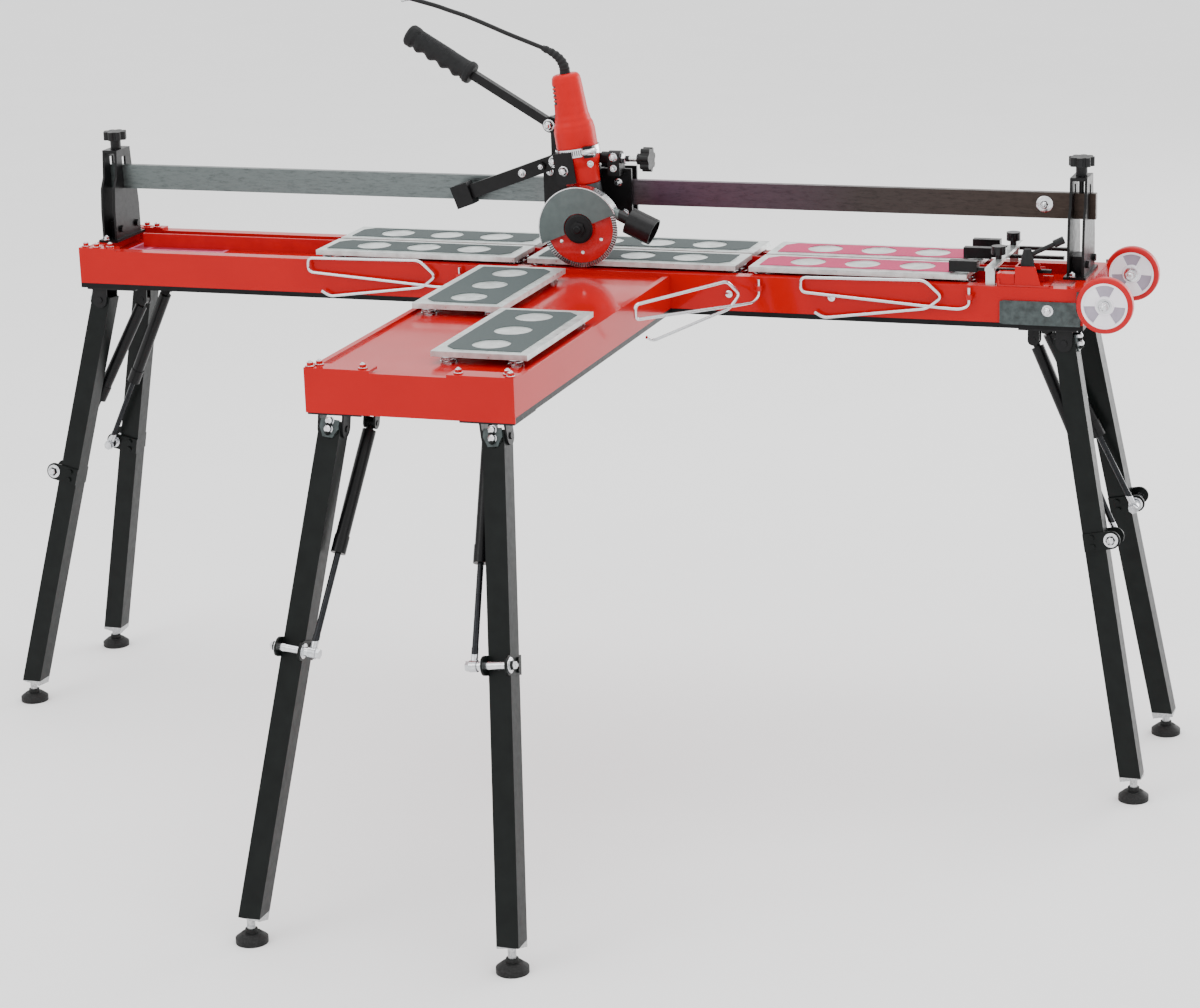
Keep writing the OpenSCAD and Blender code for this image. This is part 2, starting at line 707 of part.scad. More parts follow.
// ---------- power cord ----------
// route of the cord's middle line in the saw's plane, from the housing to the hook
cord_r = 3.6;
relief_route = [[858.43, 1097.86], [856.8, 1109.5], [850, 1121], [838, 1130.5], [822, 1138]];
cord_route = [[822, 1138], [806, 1144], [784, 1152], [760, 1161], [735, 1171],
              [712, 1180], [690, 1188], [667, 1195], [645, 1202], [622, 1208], [598, 1214]];
function route_dir(pts, k) = let (a = pts[max(k - 1, 0)], b = pts[min(k + 1, len(pts) - 1)],
    d = b - a) d / norm(d);
function ring_point(p, d, r, a, y) = [p[0] - d[1] * r * cos(a), y + r * sin(a), p[1] + d[0] * r * cos(a)];
// a round bar swept along a route in an upright plane
module sweep(pts, r0, r1, sides, y) {
    n = len(pts);
    rings = [for (k = [0 : n - 1], s = [0 : sides - 1])
        ring_point(pts[k], route_dir(pts, k), r0 + (r1 - r0) * k / (n - 1), s * 360 / sides, y)];
    walls = [for (k = [0 : n - 2], s = [0 : sides - 1])
        [k * sides + s, k * sides + (s + 1) % sides,
         (k + 1) * sides + (s + 1) % sides, (k + 1) * sides + s]];
    start_cap = [[for (s = [sides - 1 : -1 : 0]) s]];
    end_cap = [[for (s = [0 : sides - 1]) (n - 1) * sides + s]];
    polyhedron(points = rings, faces = concat(start_cap, walls, end_cap), convexity = 4);
}
// the saw's place as drawn; the cord follows it when the saw is moved
cord_shift = [saw_x - 892, 0, blade_z - 859];
module cord_relief() {
    color([0.05, 0.05, 0.05]) place() translate(cord_shift) sweep(relief_route, 9, 5, 12, spindle_y);
}
module power_cord() {
    color([0.05, 0.05, 0.05]) place() translate(cord_shift) sweep(cord_route, cord_r, cord_r, 8, spindle_y);
}
module cord_hook() {
    color([0.72, 0.74, 0.75]) place() translate(cord_shift) translate([592, spindle_y, 1215]) {
        rotate([0, -14, 0]) translate([-8, 0, 0]) along_x(12, 11.9);
        translate([-13, 0, 10]) rotate([90, 0, 0]) rotate_extrude($fn = 32)
            translate([9, 0]) circle(r = 2.2, $fn = 16);
    }
}

// ---------- support plates ----------
pad_edge = 14;
pad_hole_d = 56;
post_r = 4;
sleeve_r = 6.5;
sleeve_h = 6.2;
post_in_x = 13;
post_in_y = 22;
function post_spots(l, w) =
    [for (x = [post_in_x, l - post_in_x], y = [post_in_y, w - post_in_y]) [x, y]];
module pad(l, w) {
    // corners cut off at 45 degrees on one end, three round windows in a line
    cut = 16;
    linear_extrude(height = pad_t) difference() {
        polygon([[pad_edge, pad_edge], [l - pad_edge - 18, pad_edge],
                 [l - pad_edge - 18 + cut, pad_edge + cut], [l - pad_edge - 18 + cut, w - pad_edge],
                 [pad_edge + cut, w - pad_edge], [pad_edge, w - pad_edge - cut]]);
        for (k = [-1 : 1]) translate([l / 2 - 2 + k * 88, w / 2]) circle(d = pad_hole_d);
    }
}
module plate(l, w) {
    difference() {
        translate([0, 0, plate_low - plate_skirt]) cube([l, w, plate_skirt + plate_t]);
        translate([plate_t, plate_t, plate_low - plate_skirt - 1])
            cube([l - 2 * plate_t, w - 2 * plate_t, plate_skirt + 1]);
    }
    translate([0, 0, plate_top]) pad(l, w);
    for (p = post_spots(l, w)) translate([p[0], p[1], plate_low - sleeve_h]) difference() {
        cylinder(r = sleeve_r, h = sleeve_h);
        translate([0, 0, -1]) cylinder(r = post_r + 0.3, h = sleeve_h);
    }
}
// post tops stop short of the sleeves' ends by more than the travel
function post_top() = plate_low - 1 - plate_travel - 1;
module posts(l, w, deck) {
    for (p = post_spots(l, w)) translate([p[0], p[1], deck]) {
        cylinder(r = post_r, h = post_top() - deck);
        cylinder(r = 8, h = 1.5);
    }
}
function main_plate_at(col, row) = [first_plate_x + col * plate_pitch, row == 0 ? front_row_y : back_row_y, 0];
arm_plate_len = 284;
arm_plate_w = 146;
arm_inner_at = [arm_left + 12, -330, 0];
arm_outer_at = [arm_right - 12 - arm_plate_w, -618, 0];
arm_deck = arm_top - arm_deck_drop;
module arm_plate_frame(at) {
    translate([at[0] + arm_plate_w, at[1], 0]) rotate([0, 0, 90]) children();
}
plate_grey = [0.80, 0.83, 0.82];
module main_plate(col, row) {
    color(plate_grey) place() translate(main_plate_at(col, row)) plate(plate_len, plate_dep);
}
module arm_plate(at) {
    color(plate_grey) place() arm_plate_frame(at) plate(arm_plate_len, arm_plate_w);
}
module rim_posts(col, row) {
    // each post stands on the deck, or on the rim where the plate reaches over it
    for (p = post_spots(plate_len, plate_dep)) {
        at = main_plate_at(col, row) + [p[0], p[1], 0];
        on_rim = at[1] > tray_w - rim_w;
        base = on_rim ? tray_top : deck_z;
        translate([at[0], at[1], base]) {
            cylinder(r = post_r, h = post_top() - base);
            if (!on_rim) cylinder(r = 8, h = 1.5);
        }
    }
}
module plate_posts() {
    color([0.78, 0.80, 0.82]) place() {
        for (col = [0 : 2], row = [0 : 1]) rim_posts(col, row);
        for (at = [arm_inner_at, arm_outer_at])
            arm_plate_frame(at) posts(arm_plate_len, arm_plate_w, arm_deck);
    }
}

// ---------- wire side supports ----------
wire_d = 5;
wire_y = -9;
wire_len = 266;
// a corner of a route, rounded by a short curve that starts and ends a bend's length away
function rounded(pts, bend) = concat([pts[0]],
    [for (k = [1 : len(pts) - 2])
        let (a = pts[k - 1] - pts[k], b = pts[k + 1] - pts[k],
             reach = min(bend, norm(a) * 0.45, norm(b) * 0.45),
             p = pts[k] + a / norm(a) * reach, q = pts[k] + b / norm(b) * reach)
        for (t = [0 : 0.25 : 1]) p * (1 - t) * (1 - t) + pts[k] * 2 * t * (1 - t) + q * t * t],
    [pts[len(pts) - 1]]);
// local frame: the pivot is the vertical post at x = 0, the support reaches to -x
wire_top = tray_top + 4;
wire_low = tray_top - 20;
wire_bend = 9;
module wire_shape() {
    route = [[0, wire_low + 18], [0, wire_low - 10], [-14, wire_low - 16], [-40, wire_low - 15],
             [-wire_len, wire_low + 1], [-wire_len, wire_top], [-70, wire_top + 3],
             [-42, wire_low + 2], [-66, wire_low - 17], [-230, wire_low - 38], [-244, wire_low - 30]];
    sweep(rounded(route, wire_bend), wire_d / 2, wire_d / 2, 10, 0);
}
wire_left_x = 691;
wire_middle_x = 1192;
wire_right_x = 1526;
wire_middle_turn = 62;
eye_h = 8;
module wire_support(x, turn) {
    color([0.84, 0.85, 0.88]) place() translate([x, wire_y, 0]) rotate([0, 0, turn]) wire_shape();
}

// ---------- end stop ----------
stop_x = 1548;
stop_bar_w = 14;
stop_z = plate_top + pad_t + 1;
module stop_frame() {
    color([0.80, 0.12, 0.13]) place() {
        // red bent bracket on the front rim
        translate([stop_x + 20, 2, tray_top]) cube([78, 40, 3]);
        translate([stop_x + 20, 39, tray_top]) cube([78, 3, 11]);
        translate([stop_x + 20, 2, tray_top]) cube([3, 40, 11]);
        // guide posts and the galvanised cross bar
        for (y = [8, tray_w - 18]) translate([stop_x, y, tray_top]) cube([stop_bar_w, 10, stop_z - tray_top + 8]);
        translate([stop_x, 2, stop_z + 8]) cube([stop_bar_w, tray_w + 16, 5]);
        // knurled clamp knobs on the cross bar
        for (y = [70, 180]) translate([stop_x + stop_bar_w / 2, y, stop_z + 13]) {
            cylinder(r = 5, h = 8);
            translate([0, 0, 8]) cylinder(r = 11, h = 13);
        }
        // post for the clamp lever
        translate([stop_x + 62, 20, tray_top + 3]) cylinder(r = 6, h = 26);
        // eyes on the front face that hold the three wire supports
        for (x = [wire_left_x, wire_middle_x, wire_right_x]) translate([x, 0, wire_low]) {
            difference() {
                union() {
                    translate([0, wire_y, 0]) cylinder(r = 6, h = eye_h);
                    translate([-3, wire_y, 0]) cube([6, -wire_y, eye_h]);
                }
                translate([0, wire_y, -1]) cylinder(d = wire_d + 2 * run_fit, h = eye_h + 2);
            }
        }
    }
}
stop_spots = [28, 130, 196];
module stop_slide() {
    color([0.08, 0.08, 0.09]) place() for (y = stop_spots) {
        translate([stop_x - 62, y, stop_z]) cube([44, 14, 17]);
        translate([stop_x - 30, y + 3, stop_z + 2]) cube([126, 8, 5]);
    }
}
module stop_lever() {
    base = tray_top + 29 + side_gap;
    color([0.07, 0.07, 0.07]) place() translate([stop_x + 62, 20, base]) {
        rotate_extrude() polygon([[0, 0], [11, 0], [9, 14], [6, 26], [0, 28]]);
        rotate([0, 0, 24]) rotate([0, -22, 0]) translate([0, 0, 14]) {
            along_x(7, 58);
            translate([50, 0, 0]) along_x(12, 16);
        }
    }
}

// ---------- transport wheels ----------
wheel_x = tray_len + 36;
wheel_z = tray_top - 19;
axle_r = 5;
wheel_gap = 3;
arm_t = 3;
module wheel_arm() {
    translate([tray_len - 130, -arm_t, wall_bottom]) cube([130, arm_t, 36]);
    translate([tray_len - 40, -arm_t, wheel_z - 16]) cube([wheel_x - tray_len + 40, arm_t, 32]);
    translate([wheel_x, -arm_t, wheel_z]) along_y(32, arm_t);
    translate([wheel_x, -arm_t - wheel_gap - wheel_w - 4, wheel_z])
        along_y(2 * axle_r, arm_t + wheel_gap + wheel_w + 4);
    translate([wheel_x, -arm_t - wheel_gap - wheel_w - 4, wheel_z]) rotate([90, 0, 0]) hex_bolt(13, 5);
    translate([tray_len - 54, -arm_t, wall_bottom + 22]) rotate([90, 0, 0]) hex_bolt(13, 5);
}
module wheel_arms() {
    color([0.28, 0.30, 0.30]) place() {
        wheel_arm();
        translate([0, tray_w, 0]) mirror([0, 1, 0]) wheel_arm();
    }
}
module wheel() {
    r = wheel_d / 2;
    difference() {
        union() {
            // tyre
            difference() {
                along_y(2 * r, wheel_w, 96);
                translate([0, -1, 0]) along_y(2 * (r - 7), wheel_w + 2, 96);
            }
            // hub disc with three windows, and the boss
            difference() {
                translate([0, wheel_w / 2 - 3, 0]) along_y(2 * (r - 6), 6, 96);
                for (a = [90, 210, 330]) rotate([0, a, 0]) translate([r * 0.5, 0, 0])
                    along_y(r * 0.34, wheel_w);
            }
            along_y(24, wheel_w);
        }
        translate([0, -1, 0]) along_y(2 * (axle_r + run_fit), wheel_w + 2);
    }
}
module wheel_at(front) {
    y0 = front ? -arm_t - wheel_gap - wheel_w : tray_w + arm_t + wheel_gap;
    color([0.88, 0.15, 0.18]) place() translate([wheel_x, y0, wheel_z]) wheel();
}

main_tray();
arm_tray();
edge_trim();
corner_plates();
breaking_bar();
leg_hinges();
uprights();
wheel_arms();
stop_frame();
plate_posts();
rail_bar();
rail_knob(upright_left_x);  // rail_knob_left
rail_knob(upright_right_x);  // rail_knob_right
carriage();
carriage_rollers();
lever();
lever_grip();
breaker_arm();
saw_mount();
saw_body();
gear_head();
blade_guard();
cord_relief();
power_cord();
cord_hook();
diamond_blade();
tilt_knob();
main_plate(0, 0);  // plate_front_left
main_plate(1, 0);  // plate_front_middle
main_plate(2, 0);  // plate_front_right
main_plate(0, 1);  // plate_back_left
main_plate(1, 1);  // plate_back_middle
main_plate(2, 1);  // plate_back_right
arm_plate(arm_inner_at);  // plate_arm_inner
arm_plate(arm_outer_at);  // plate_arm_outer
wire_support(wire_left_x, 0);  // wire_left
wire_support(wire_middle_x, wire_middle_turn);  // wire_middle
wire_support(wire_right_x, 0);  // wire_right
stop_slide();
stop_lever();
wheel_at(true);  // wheel_front
wheel_at(false);  // wheel_back
leg(0);  // leg_front_left
leg(1);  // leg_back_left
leg(2);  // leg_front_right
leg(3);  // leg_back_right
leg(4);  // leg_arm_left
leg(5);  // leg_arm_right
stay_tube(0);  // stay_tube_front_left
stay_tube(1);  // stay_tube_back_left
stay_tube(2);  // stay_tube_front_right
stay_tube(3);  // stay_tube_back_right
stay_tube(4);  // stay_tube_arm_left
stay_tube(5);  // stay_tube_arm_right
stay_rod(0);  // stay_rod_front_left
stay_rod(1);  // stay_rod_back_left
stay_rod(2);  // stay_rod_front_right
stay_rod(3);  // stay_rod_back_right
stay_rod(4);  // stay_rod_arm_left
stay_rod(5);  // stay_rod_arm_right
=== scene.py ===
# %% [markdown]
# # A folding tile cutting table
# The CAD model gives the table its frame: every joint, and every part at its true size. This lesson adds
# what a CAD model leaves out, which is paint with reflections, brushed and galvanised steel, rubber, springs,
# smooth wire and a little wear. Every length is in metres.

# %% Load the frame
import json
import math

import bmesh
import bpy
from mathutils import Matrix, Vector


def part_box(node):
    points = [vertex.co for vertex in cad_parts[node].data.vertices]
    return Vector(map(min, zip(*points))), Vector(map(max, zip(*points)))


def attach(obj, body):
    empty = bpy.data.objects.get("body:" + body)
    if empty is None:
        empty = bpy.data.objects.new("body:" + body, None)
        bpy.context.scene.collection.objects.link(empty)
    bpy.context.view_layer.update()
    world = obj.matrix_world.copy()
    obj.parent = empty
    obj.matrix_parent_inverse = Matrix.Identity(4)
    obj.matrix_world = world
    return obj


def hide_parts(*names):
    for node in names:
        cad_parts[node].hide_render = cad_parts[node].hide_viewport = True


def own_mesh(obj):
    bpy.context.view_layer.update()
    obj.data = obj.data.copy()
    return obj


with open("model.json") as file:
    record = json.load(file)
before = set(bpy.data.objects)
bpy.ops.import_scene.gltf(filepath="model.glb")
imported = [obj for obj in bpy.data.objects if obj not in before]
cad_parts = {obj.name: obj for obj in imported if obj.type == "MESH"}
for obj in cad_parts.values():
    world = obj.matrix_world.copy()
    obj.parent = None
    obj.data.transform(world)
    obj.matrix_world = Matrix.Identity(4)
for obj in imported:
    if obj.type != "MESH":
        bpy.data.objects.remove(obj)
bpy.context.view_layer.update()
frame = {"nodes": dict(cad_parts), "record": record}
nodes = frame["nodes"]

# %% [markdown]
# ## A ruler on the table
# The designer's drawing measures along the tray from its plain end, across it from its front face, and up
# from the floor. One helper turns those numbers into a point in the scene.

# %% The ruler
tray_low, tray_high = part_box("main_tray")


def at(x, y, z):
    """A point in the scene from distances along the tray, behind its front face and above the floor."""
    return Vector((tray_low.x + x, tray_low.y + y, z))


TRAY_TOP = tray_high.z
PLATE_TOP = TRAY_TOP + 0.012
print("tray top", round(TRAY_TOP, 4))

# %% [markdown]
# ## Camera
# A product picture of a long table is taken from far away with a long lens, so that its legs stay straight.
# The camera is set by where it stands and how far it turns, dips and rolls.

# %% Camera
EYE = Vector((1.7369, -4.3610, 1.8366))
TURN, DIP, ROLL = 0.340, -0.280, -0.033
LENS_MM = 95.58


def aim(turn, dip, roll):
    """Rotation of a camera that looks along +Y, then is turned left, tipped and rolled."""
    ahead = Vector((-math.sin(turn) * math.cos(dip), math.cos(turn) * math.cos(dip), math.sin(dip)))
    level = Vector((math.cos(turn), math.sin(turn), 0))
    above = level.cross(ahead)
    right = math.cos(roll) * level + math.sin(roll) * above
    up = math.cos(roll) * above - math.sin(roll) * level
    return Matrix((right, up, -ahead)).transposed()


camera = bpy.data.objects.new("camera", bpy.data.cameras.new("camera"))
camera.data.lens = LENS_MM
camera.data.clip_end = 60
camera.matrix_world = Matrix.Translation(EYE) @ aim(TURN, DIP, ROLL).to_4x4()
bpy.context.scene.collection.objects.link(camera)
bpy.context.scene.camera = camera

# %% [markdown]
# ## Helpers for materials
# Each finish is built from a few steps: noise mixes two or three shades of the colour, a second noise makes
# the gloss uneven, and a fine third one roughens the surface. Coordinates come from the part itself.


# %% Material helpers
def link(mat, source, target):
    """Joins two sockets of a material."""
    mat.node_tree.links.new(source, target)


def node(mat, kind, **settings):
    """A new node of a material with some of its settings made."""
    made = mat.node_tree.nodes.new(kind)
    for key, value in settings.items():
        setattr(made, key, value)
    return made


def place_on(mat, stretch=(1, 1, 1)):
    """The surface's own coordinates, stretched along an axis where the grain runs."""
    source = node(mat, "ShaderNodeTexCoord").outputs["Object"]
    mapping = node(mat, "ShaderNodeMapping")
    mapping.inputs["Scale"].default_value = stretch
    link(mat, source, mapping.inputs["Vector"])
    return mapping.outputs["Vector"]


def noise(mat, where, scale, detail=4.0, rough=0.55):
    """A noise value between 0 and 1."""
    made = node(mat, "ShaderNodeTexNoise")
    made.inputs["Scale"].default_value = scale
    made.inputs["Detail"].default_value = detail
    made.inputs["Roughness"].default_value = rough
    link(mat, where, made.inputs["Vector"])
    return made.outputs["Fac"]


def shades(mat, value, stops):
    """A colour ramp: stops are pairs of a position and a colour."""
    ramp = node(mat, "ShaderNodeValToRGB")
    while len(ramp.color_ramp.elements) < len(stops):
        ramp.color_ramp.elements.new(0.5)
    for element, (position, colour) in zip(ramp.color_ramp.elements, stops):
        element.position = position
        element.color = (*colour, 1)
    link(mat, value, ramp.inputs["Fac"])
    return ramp.outputs["Color"]


def span(mat, value, low, high, start=0.3, end=0.7):
    """A value stretched from start..end to low..high."""
    made = node(mat, "ShaderNodeMapRange")
    for name, number in (("From Min", start), ("From Max", end), ("To Min", low), ("To Max", high)):
        made.inputs[name].default_value = number
    link(mat, value, made.inputs["Value"])
    return made.outputs["Result"]


def bumps(mat, value, depth, strength=0.5):
    """Small relief on the material's surface."""
    made = node(mat, "ShaderNodeBump")
    made.inputs["Distance"].default_value = depth
    made.inputs["Strength"].default_value = strength
    link(mat, value, made.inputs["Height"])
    link(mat, made.outputs["Normal"], principled(mat).inputs["Normal"])


def principled(mat):
    """The material's main shader."""
    return mat.node_tree.nodes["Principled BSDF"]


def tint(colour, amount):
    """A lighter or darker shade of a colour."""
    return tuple(min(1.0, c * amount) for c in colour)


def finish(name, colour, metal=0.0, rough=(0.3, 0.45), grain=30.0, fine=900.0, depth=0.0002,
           vary=0.12, coat=0.0, relief=0.25, shine=0.25):
    """A material with uneven colour, uneven gloss and fine relief."""
    mat = bpy.data.materials.new(name)
    mat.use_nodes = True
    where = place_on(mat)
    blotch = noise(mat, where, grain)
    colours = [(0.30, tint(colour, 1 - vary)), (0.52, colour), (0.75, tint(colour, 1 + vary))]
    link(mat, shades(mat, blotch, colours), principled(mat).inputs["Base Color"])
    link(mat, span(mat, noise(mat, where, grain * 2.3), *rough), principled(mat).inputs["Roughness"])
    bumps(mat, noise(mat, where, fine, 2.0), depth, relief)
    principled(mat).inputs["Metallic"].default_value = metal
    principled(mat).inputs["Coat Weight"].default_value = coat
    principled(mat).inputs["Coat Roughness"].default_value = 0.06
    principled(mat).inputs["Specular IOR Level"].default_value = shine
    return mat


def height_mask(mat, axis, level, below=False):
    """1 where the part's own coordinate along an axis is above a level, and 0 elsewhere."""
    source = node(mat, "ShaderNodeTexCoord").outputs["Object"]
    parts = node(mat, "ShaderNodeSeparateXYZ")
    link(mat, source, parts.inputs["Vector"])
    test = node(mat, "ShaderNodeMath", operation="LESS_THAN" if below else "GREATER_THAN")
    test.inputs[1].default_value = level
    link(mat, parts.outputs[axis], test.inputs[0])
    return test.outputs["Value"]


def ring_mask(mat, centre, radius):
    """1 outside a radius around an axis along Y through centre, and 0 inside."""
    source = node(mat, "ShaderNodeTexCoord").outputs["Object"]
    offset = node(mat, "ShaderNodeVectorMath", operation="SUBTRACT")
    offset.inputs[1].default_value = centre
    flat = node(mat, "ShaderNodeVectorMath", operation="MULTIPLY")
    flat.inputs[1].default_value = (1, 0, 1)
    length = node(mat, "ShaderNodeVectorMath", operation="LENGTH")
    test = node(mat, "ShaderNodeMath", operation="GREATER_THAN")
    test.inputs[1].default_value = radius
    link(mat, source, offset.inputs[0])
    link(mat, offset.outputs["Vector"], flat.inputs[0])
    link(mat, flat.outputs["Vector"], length.inputs[0])
    link(mat, length.outputs["Value"], test.inputs[0])
    return test.outputs["Value"]


def overlay(mat, mask, stops, metal, rough, grain=40.0):
    """Puts a second finish over the first where mask is 1."""
    shader = principled(mat)
    upper = shades(mat, noise(mat, place_on(mat), grain), stops)
    mix = node(mat, "ShaderNodeMix", data_type="RGBA")
    colour_in = [s for s in mix.inputs if s.type == "RGBA"]
    colour_out = [s for s in mix.outputs if s.type == "RGBA"][0]
    link(mat, mask, mix.inputs[0])
    link(mat, shader.inputs["Base Color"].links[0].from_socket, colour_in[0])
    link(mat, upper, colour_in[1])
    link(mat, colour_out, shader.inputs["Base Color"])
    for name, target in (("Metallic", metal), ("Roughness", rough)):
        blend = node(mat, "ShaderNodeMix")
        link(mat, mask, blend.inputs[0])
        if shader.inputs[name].links:
            link(mat, shader.inputs[name].links[0].from_socket, blend.inputs[2])
        else:
            blend.inputs[2].default_value = shader.inputs[name].default_value
        blend.inputs[3].default_value = target
        link(mat, blend.outputs[0], shader.inputs[name])
    return mat


# %% [markdown]
# ## Finishes
# The tray is powder coated and then lacquered, so its red has a clear coat. The plates are galvanised, with a
# rubber pad glued on: one material shows both, because the pad is simply everything above the sheet.

# %% Paints and plastics
RED = (0.40, 0.0008, 0.0020)
BLACK = (0.005, 0.005, 0.0055)
MOULDED = (0.006, 0.0064, 0.007)
red_paint = finish("red_paint", RED, rough=(0.16, 0.24), grain=9, fine=420, depth=0.0003, vary=0.05,
                   coat=0.25, relief=0.12, shine=0.05)
black_trim = finish("black_trim", BLACK, rough=(0.30, 0.42), grain=60, vary=0.3, shine=0.12)
black_steel = finish("black_steel", BLACK, rough=(0.28, 0.42), grain=70, vary=0.35, shine=0.2)
dark_plate = finish("dark_plate", (0.040, 0.052, 0.052), rough=(0.30, 0.45), grain=110, vary=0.45, shine=0.3)
black_plastic = finish("black_plastic", MOULDED, rough=(0.35, 0.5), grain=80, fine=1500, vary=0.3)
grip_rubber = finish("grip_rubber", MOULDED, rough=(0.55, 0.7), grain=90, fine=1800, vary=0.3)
cord_rubber = finish("cord_rubber", (0.006, 0.006, 0.0065), rough=(0.45, 0.6), grain=60, fine=1200, vary=0.3)
saw_shell = finish("saw_shell", (0.50, 0.003, 0.004), rough=(0.32, 0.42), grain=40, fine=1400, vary=0.05,
                   shine=0.15)
leg_black = finish("leg_black", (0.0045, 0.0058, 0.0054), rough=(0.30, 0.42), grain=40, vary=0.3, shine=0.14)
stay_black = finish("stay_black", (0.004, 0.004, 0.0045), rough=(0.25, 0.36), grain=60, vary=0.3, shine=0.18)
print("painted", len(bpy.data.materials))

# %% Metals
zinc = finish("zinc", (0.58, 0.60, 0.62), metal=1.0, rough=(0.18, 0.34), grain=120, vary=0.15)
chrome = finish("chrome_wire", (0.62, 0.63, 0.65), metal=1.0, rough=(0.10, 0.2), grain=150, vary=0.05)
spring = finish("spring_chrome", (0.60, 0.60, 0.62), metal=1.0, rough=(0.10, 0.2), grain=200, vary=0.1)
head_metal = finish("head_metal", (0.055, 0.058, 0.062), metal=0.6, rough=(0.35, 0.5), grain=90, vary=0.3)
guard_paint = finish("guard_paint", (0.105, 0.13, 0.128), metal=0.6, rough=(0.30, 0.40), grain=70, vary=0.12)
rod_steel = finish("stay_rod", (0.02, 0.021, 0.023), metal=0.8, rough=(0.2, 0.32), grain=150, vary=0.25)
FORK_TOP = 0.424
fork_zinc = [(0.4, (0.50, 0.51, 0.53)), (0.7, (0.66, 0.67, 0.69))]
overlay(rod_steel, height_mask(rod_steel, "Z", FORK_TOP, below=True), fork_zinc, 1.0, 0.25, 200)
bright = finish("bright_steel", (0.66, 0.67, 0.69), metal=1.0, rough=(0.14, 0.26), grain=200, vary=0.12)


def plate_finish(name, pad):
    """Galvanised sheet with a rubber pad on top of it."""
    mat = finish(name, (0.62, 0.66, 0.65), metal=0.75, rough=(0.26, 0.46), grain=55, vary=0.22)
    rubber = [(0.35, tint(pad, 0.85)), (0.6, pad), (0.8, tint(pad, 1.12))]
    return overlay(mat, height_mask(mat, "Z", PLATE_TOP + 0.0004), rubber, 0.0, 0.62, 260)


plate_grey = plate_finish("plate_zinc", (0.048, 0.066, 0.066))
# The pads of the two right-hand plates are pink: painted reflection of the light from the right.
plate_painted_reflection = plate_finish("plate_zinc_pad_painted_reflection", (0.50, 0.030, 0.12))

# %% [markdown]
# The rail is rolled steel that was heated in places, so it runs from a grey green through purple to brown,
# and its grain lies along it.

# %% Rail steel
rail_steel = bpy.data.materials.new("rail_steel")
rail_steel.use_nodes = True
rail_low, rail_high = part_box("rail_bar")
axes = node(rail_steel, "ShaderNodeSeparateXYZ")
link(rail_steel, node(rail_steel, "ShaderNodeTexCoord").outputs["Object"], axes.inputs["Vector"])
along = span(rail_steel, axes.outputs["X"], 0, 1, rail_low.x, rail_high.x)
heat = [(0.0, (0.125, 0.145, 0.143)), (0.45, (0.15, 0.172, 0.172)), (0.53, (0.22, 0.22, 0.22)),
        (0.58, (0.11, 0.060, 0.092)), (0.68, (0.088, 0.058, 0.076)), (0.78, (0.052, 0.042, 0.040)),
        (1.0, (0.042, 0.029, 0.023))]
band = shades(rail_steel, along, heat)
streaks = noise(rail_steel, place_on(rail_steel, (0.08, 1, 1)), 620, 6)
patches = noise(rail_steel, place_on(rail_steel, (0.22, 1, 1)), 190, 10, 0.8)
mottle = node(rail_steel, "ShaderNodeMix", data_type="RGBA", blend_type="MULTIPLY")
mottle.inputs[0].default_value = 0.75
rgba = [s for s in mottle.inputs if s.type == "RGBA"]
link(rail_steel, band, rgba[0])
spots = [(0.36, (0.45, 0.45, 0.45)), (0.5, (0.9, 0.9, 0.9)), (0.66, (1.0, 1.0, 1.0))]
link(rail_steel, shades(rail_steel, patches, spots), rgba[1])
shader = principled(rail_steel)
link(rail_steel, [s for s in mottle.outputs if s.type == "RGBA"][0], shader.inputs["Base Color"])
link(rail_steel, span(rail_steel, streaks, 0.26, 0.5), shader.inputs["Roughness"])
shader.inputs["Metallic"].default_value = 0.85
bumps(rail_steel, streaks, 0.0002, 0.35)

# %% Blade, wheels and feet
BLADE = at(0.892, 0.012, 0.859)
DISC_R = 0.0552
blade_red = finish("blade_red", (0.42, 0.0014, 0.0035), rough=(0.22, 0.3), grain=60, vary=0.06, coat=0.4)
steel_edge = [(0.3, (0.020, 0.020, 0.021)), (0.7, (0.05, 0.05, 0.05))]
overlay(blade_red, ring_mask(blade_red, BLADE, DISC_R), steel_edge, 0.6, 0.4, 300)

wheel_red = finish("wheel_red", (0.44, 0.0016, 0.006), rough=(0.30, 0.42), grain=60, vary=0.08)
hub_white = finish("hub_white", (0.86, 0.83, 0.88), rough=(0.30, 0.42), grain=60, vary=0.05)
# A darker copy of the hub's white: painted shade for the hub's sunk wedges.
hub_painted_shade = finish("hub_painted_shade", (0.34, 0.30, 0.37), rough=(0.35, 0.5), grain=60, vary=0.08)

FOOT_SCREW_TOP, FOOT_PAD_TOP = 0.040, 0.0212
screw_zinc = [(0.4, (0.30, 0.31, 0.32)), (0.6, (0.5, 0.5, 0.5))]
pad_rubber = [(0.4, (0.012, 0.012, 0.012)), (0.6, (0.02, 0.02, 0.02))]
overlay(leg_black, height_mask(leg_black, "Z", FOOT_SCREW_TOP, below=True), screw_zinc, 0.9, 0.3, 400)
overlay(leg_black, height_mask(leg_black, "Z", FOOT_PAD_TOP, below=True), pad_rubber, 0.0, 0.55, 400)
print("materials", len(bpy.data.materials))

# %% [markdown]
# Three nodes show two finishes each, because a plated or moulded part sits on a painted one: the end stop's
# cross bar and knobs, the guard's dust spout, and the stud of the tilt knob.

# %% Parts with two finishes
stop_red = finish("stop_red", RED, rough=(0.2, 0.3), grain=20, vary=0.06, coat=0.4, relief=0.12, shine=0.12)
stop_bar = [(0.35, (0.50, 0.53, 0.52)), (0.7, (0.64, 0.67, 0.66))]
soot = [(0.35, (0.004, 0.004, 0.0045)), (0.7, (0.009, 0.009, 0.010))]


def both(mat, first, second):
    """1 where both masks are 1."""
    made = node(mat, "ShaderNodeMath", operation="MULTIPLY")
    link(mat, first, made.inputs[0])
    link(mat, second, made.inputs[1])
    return made.outputs["Value"]


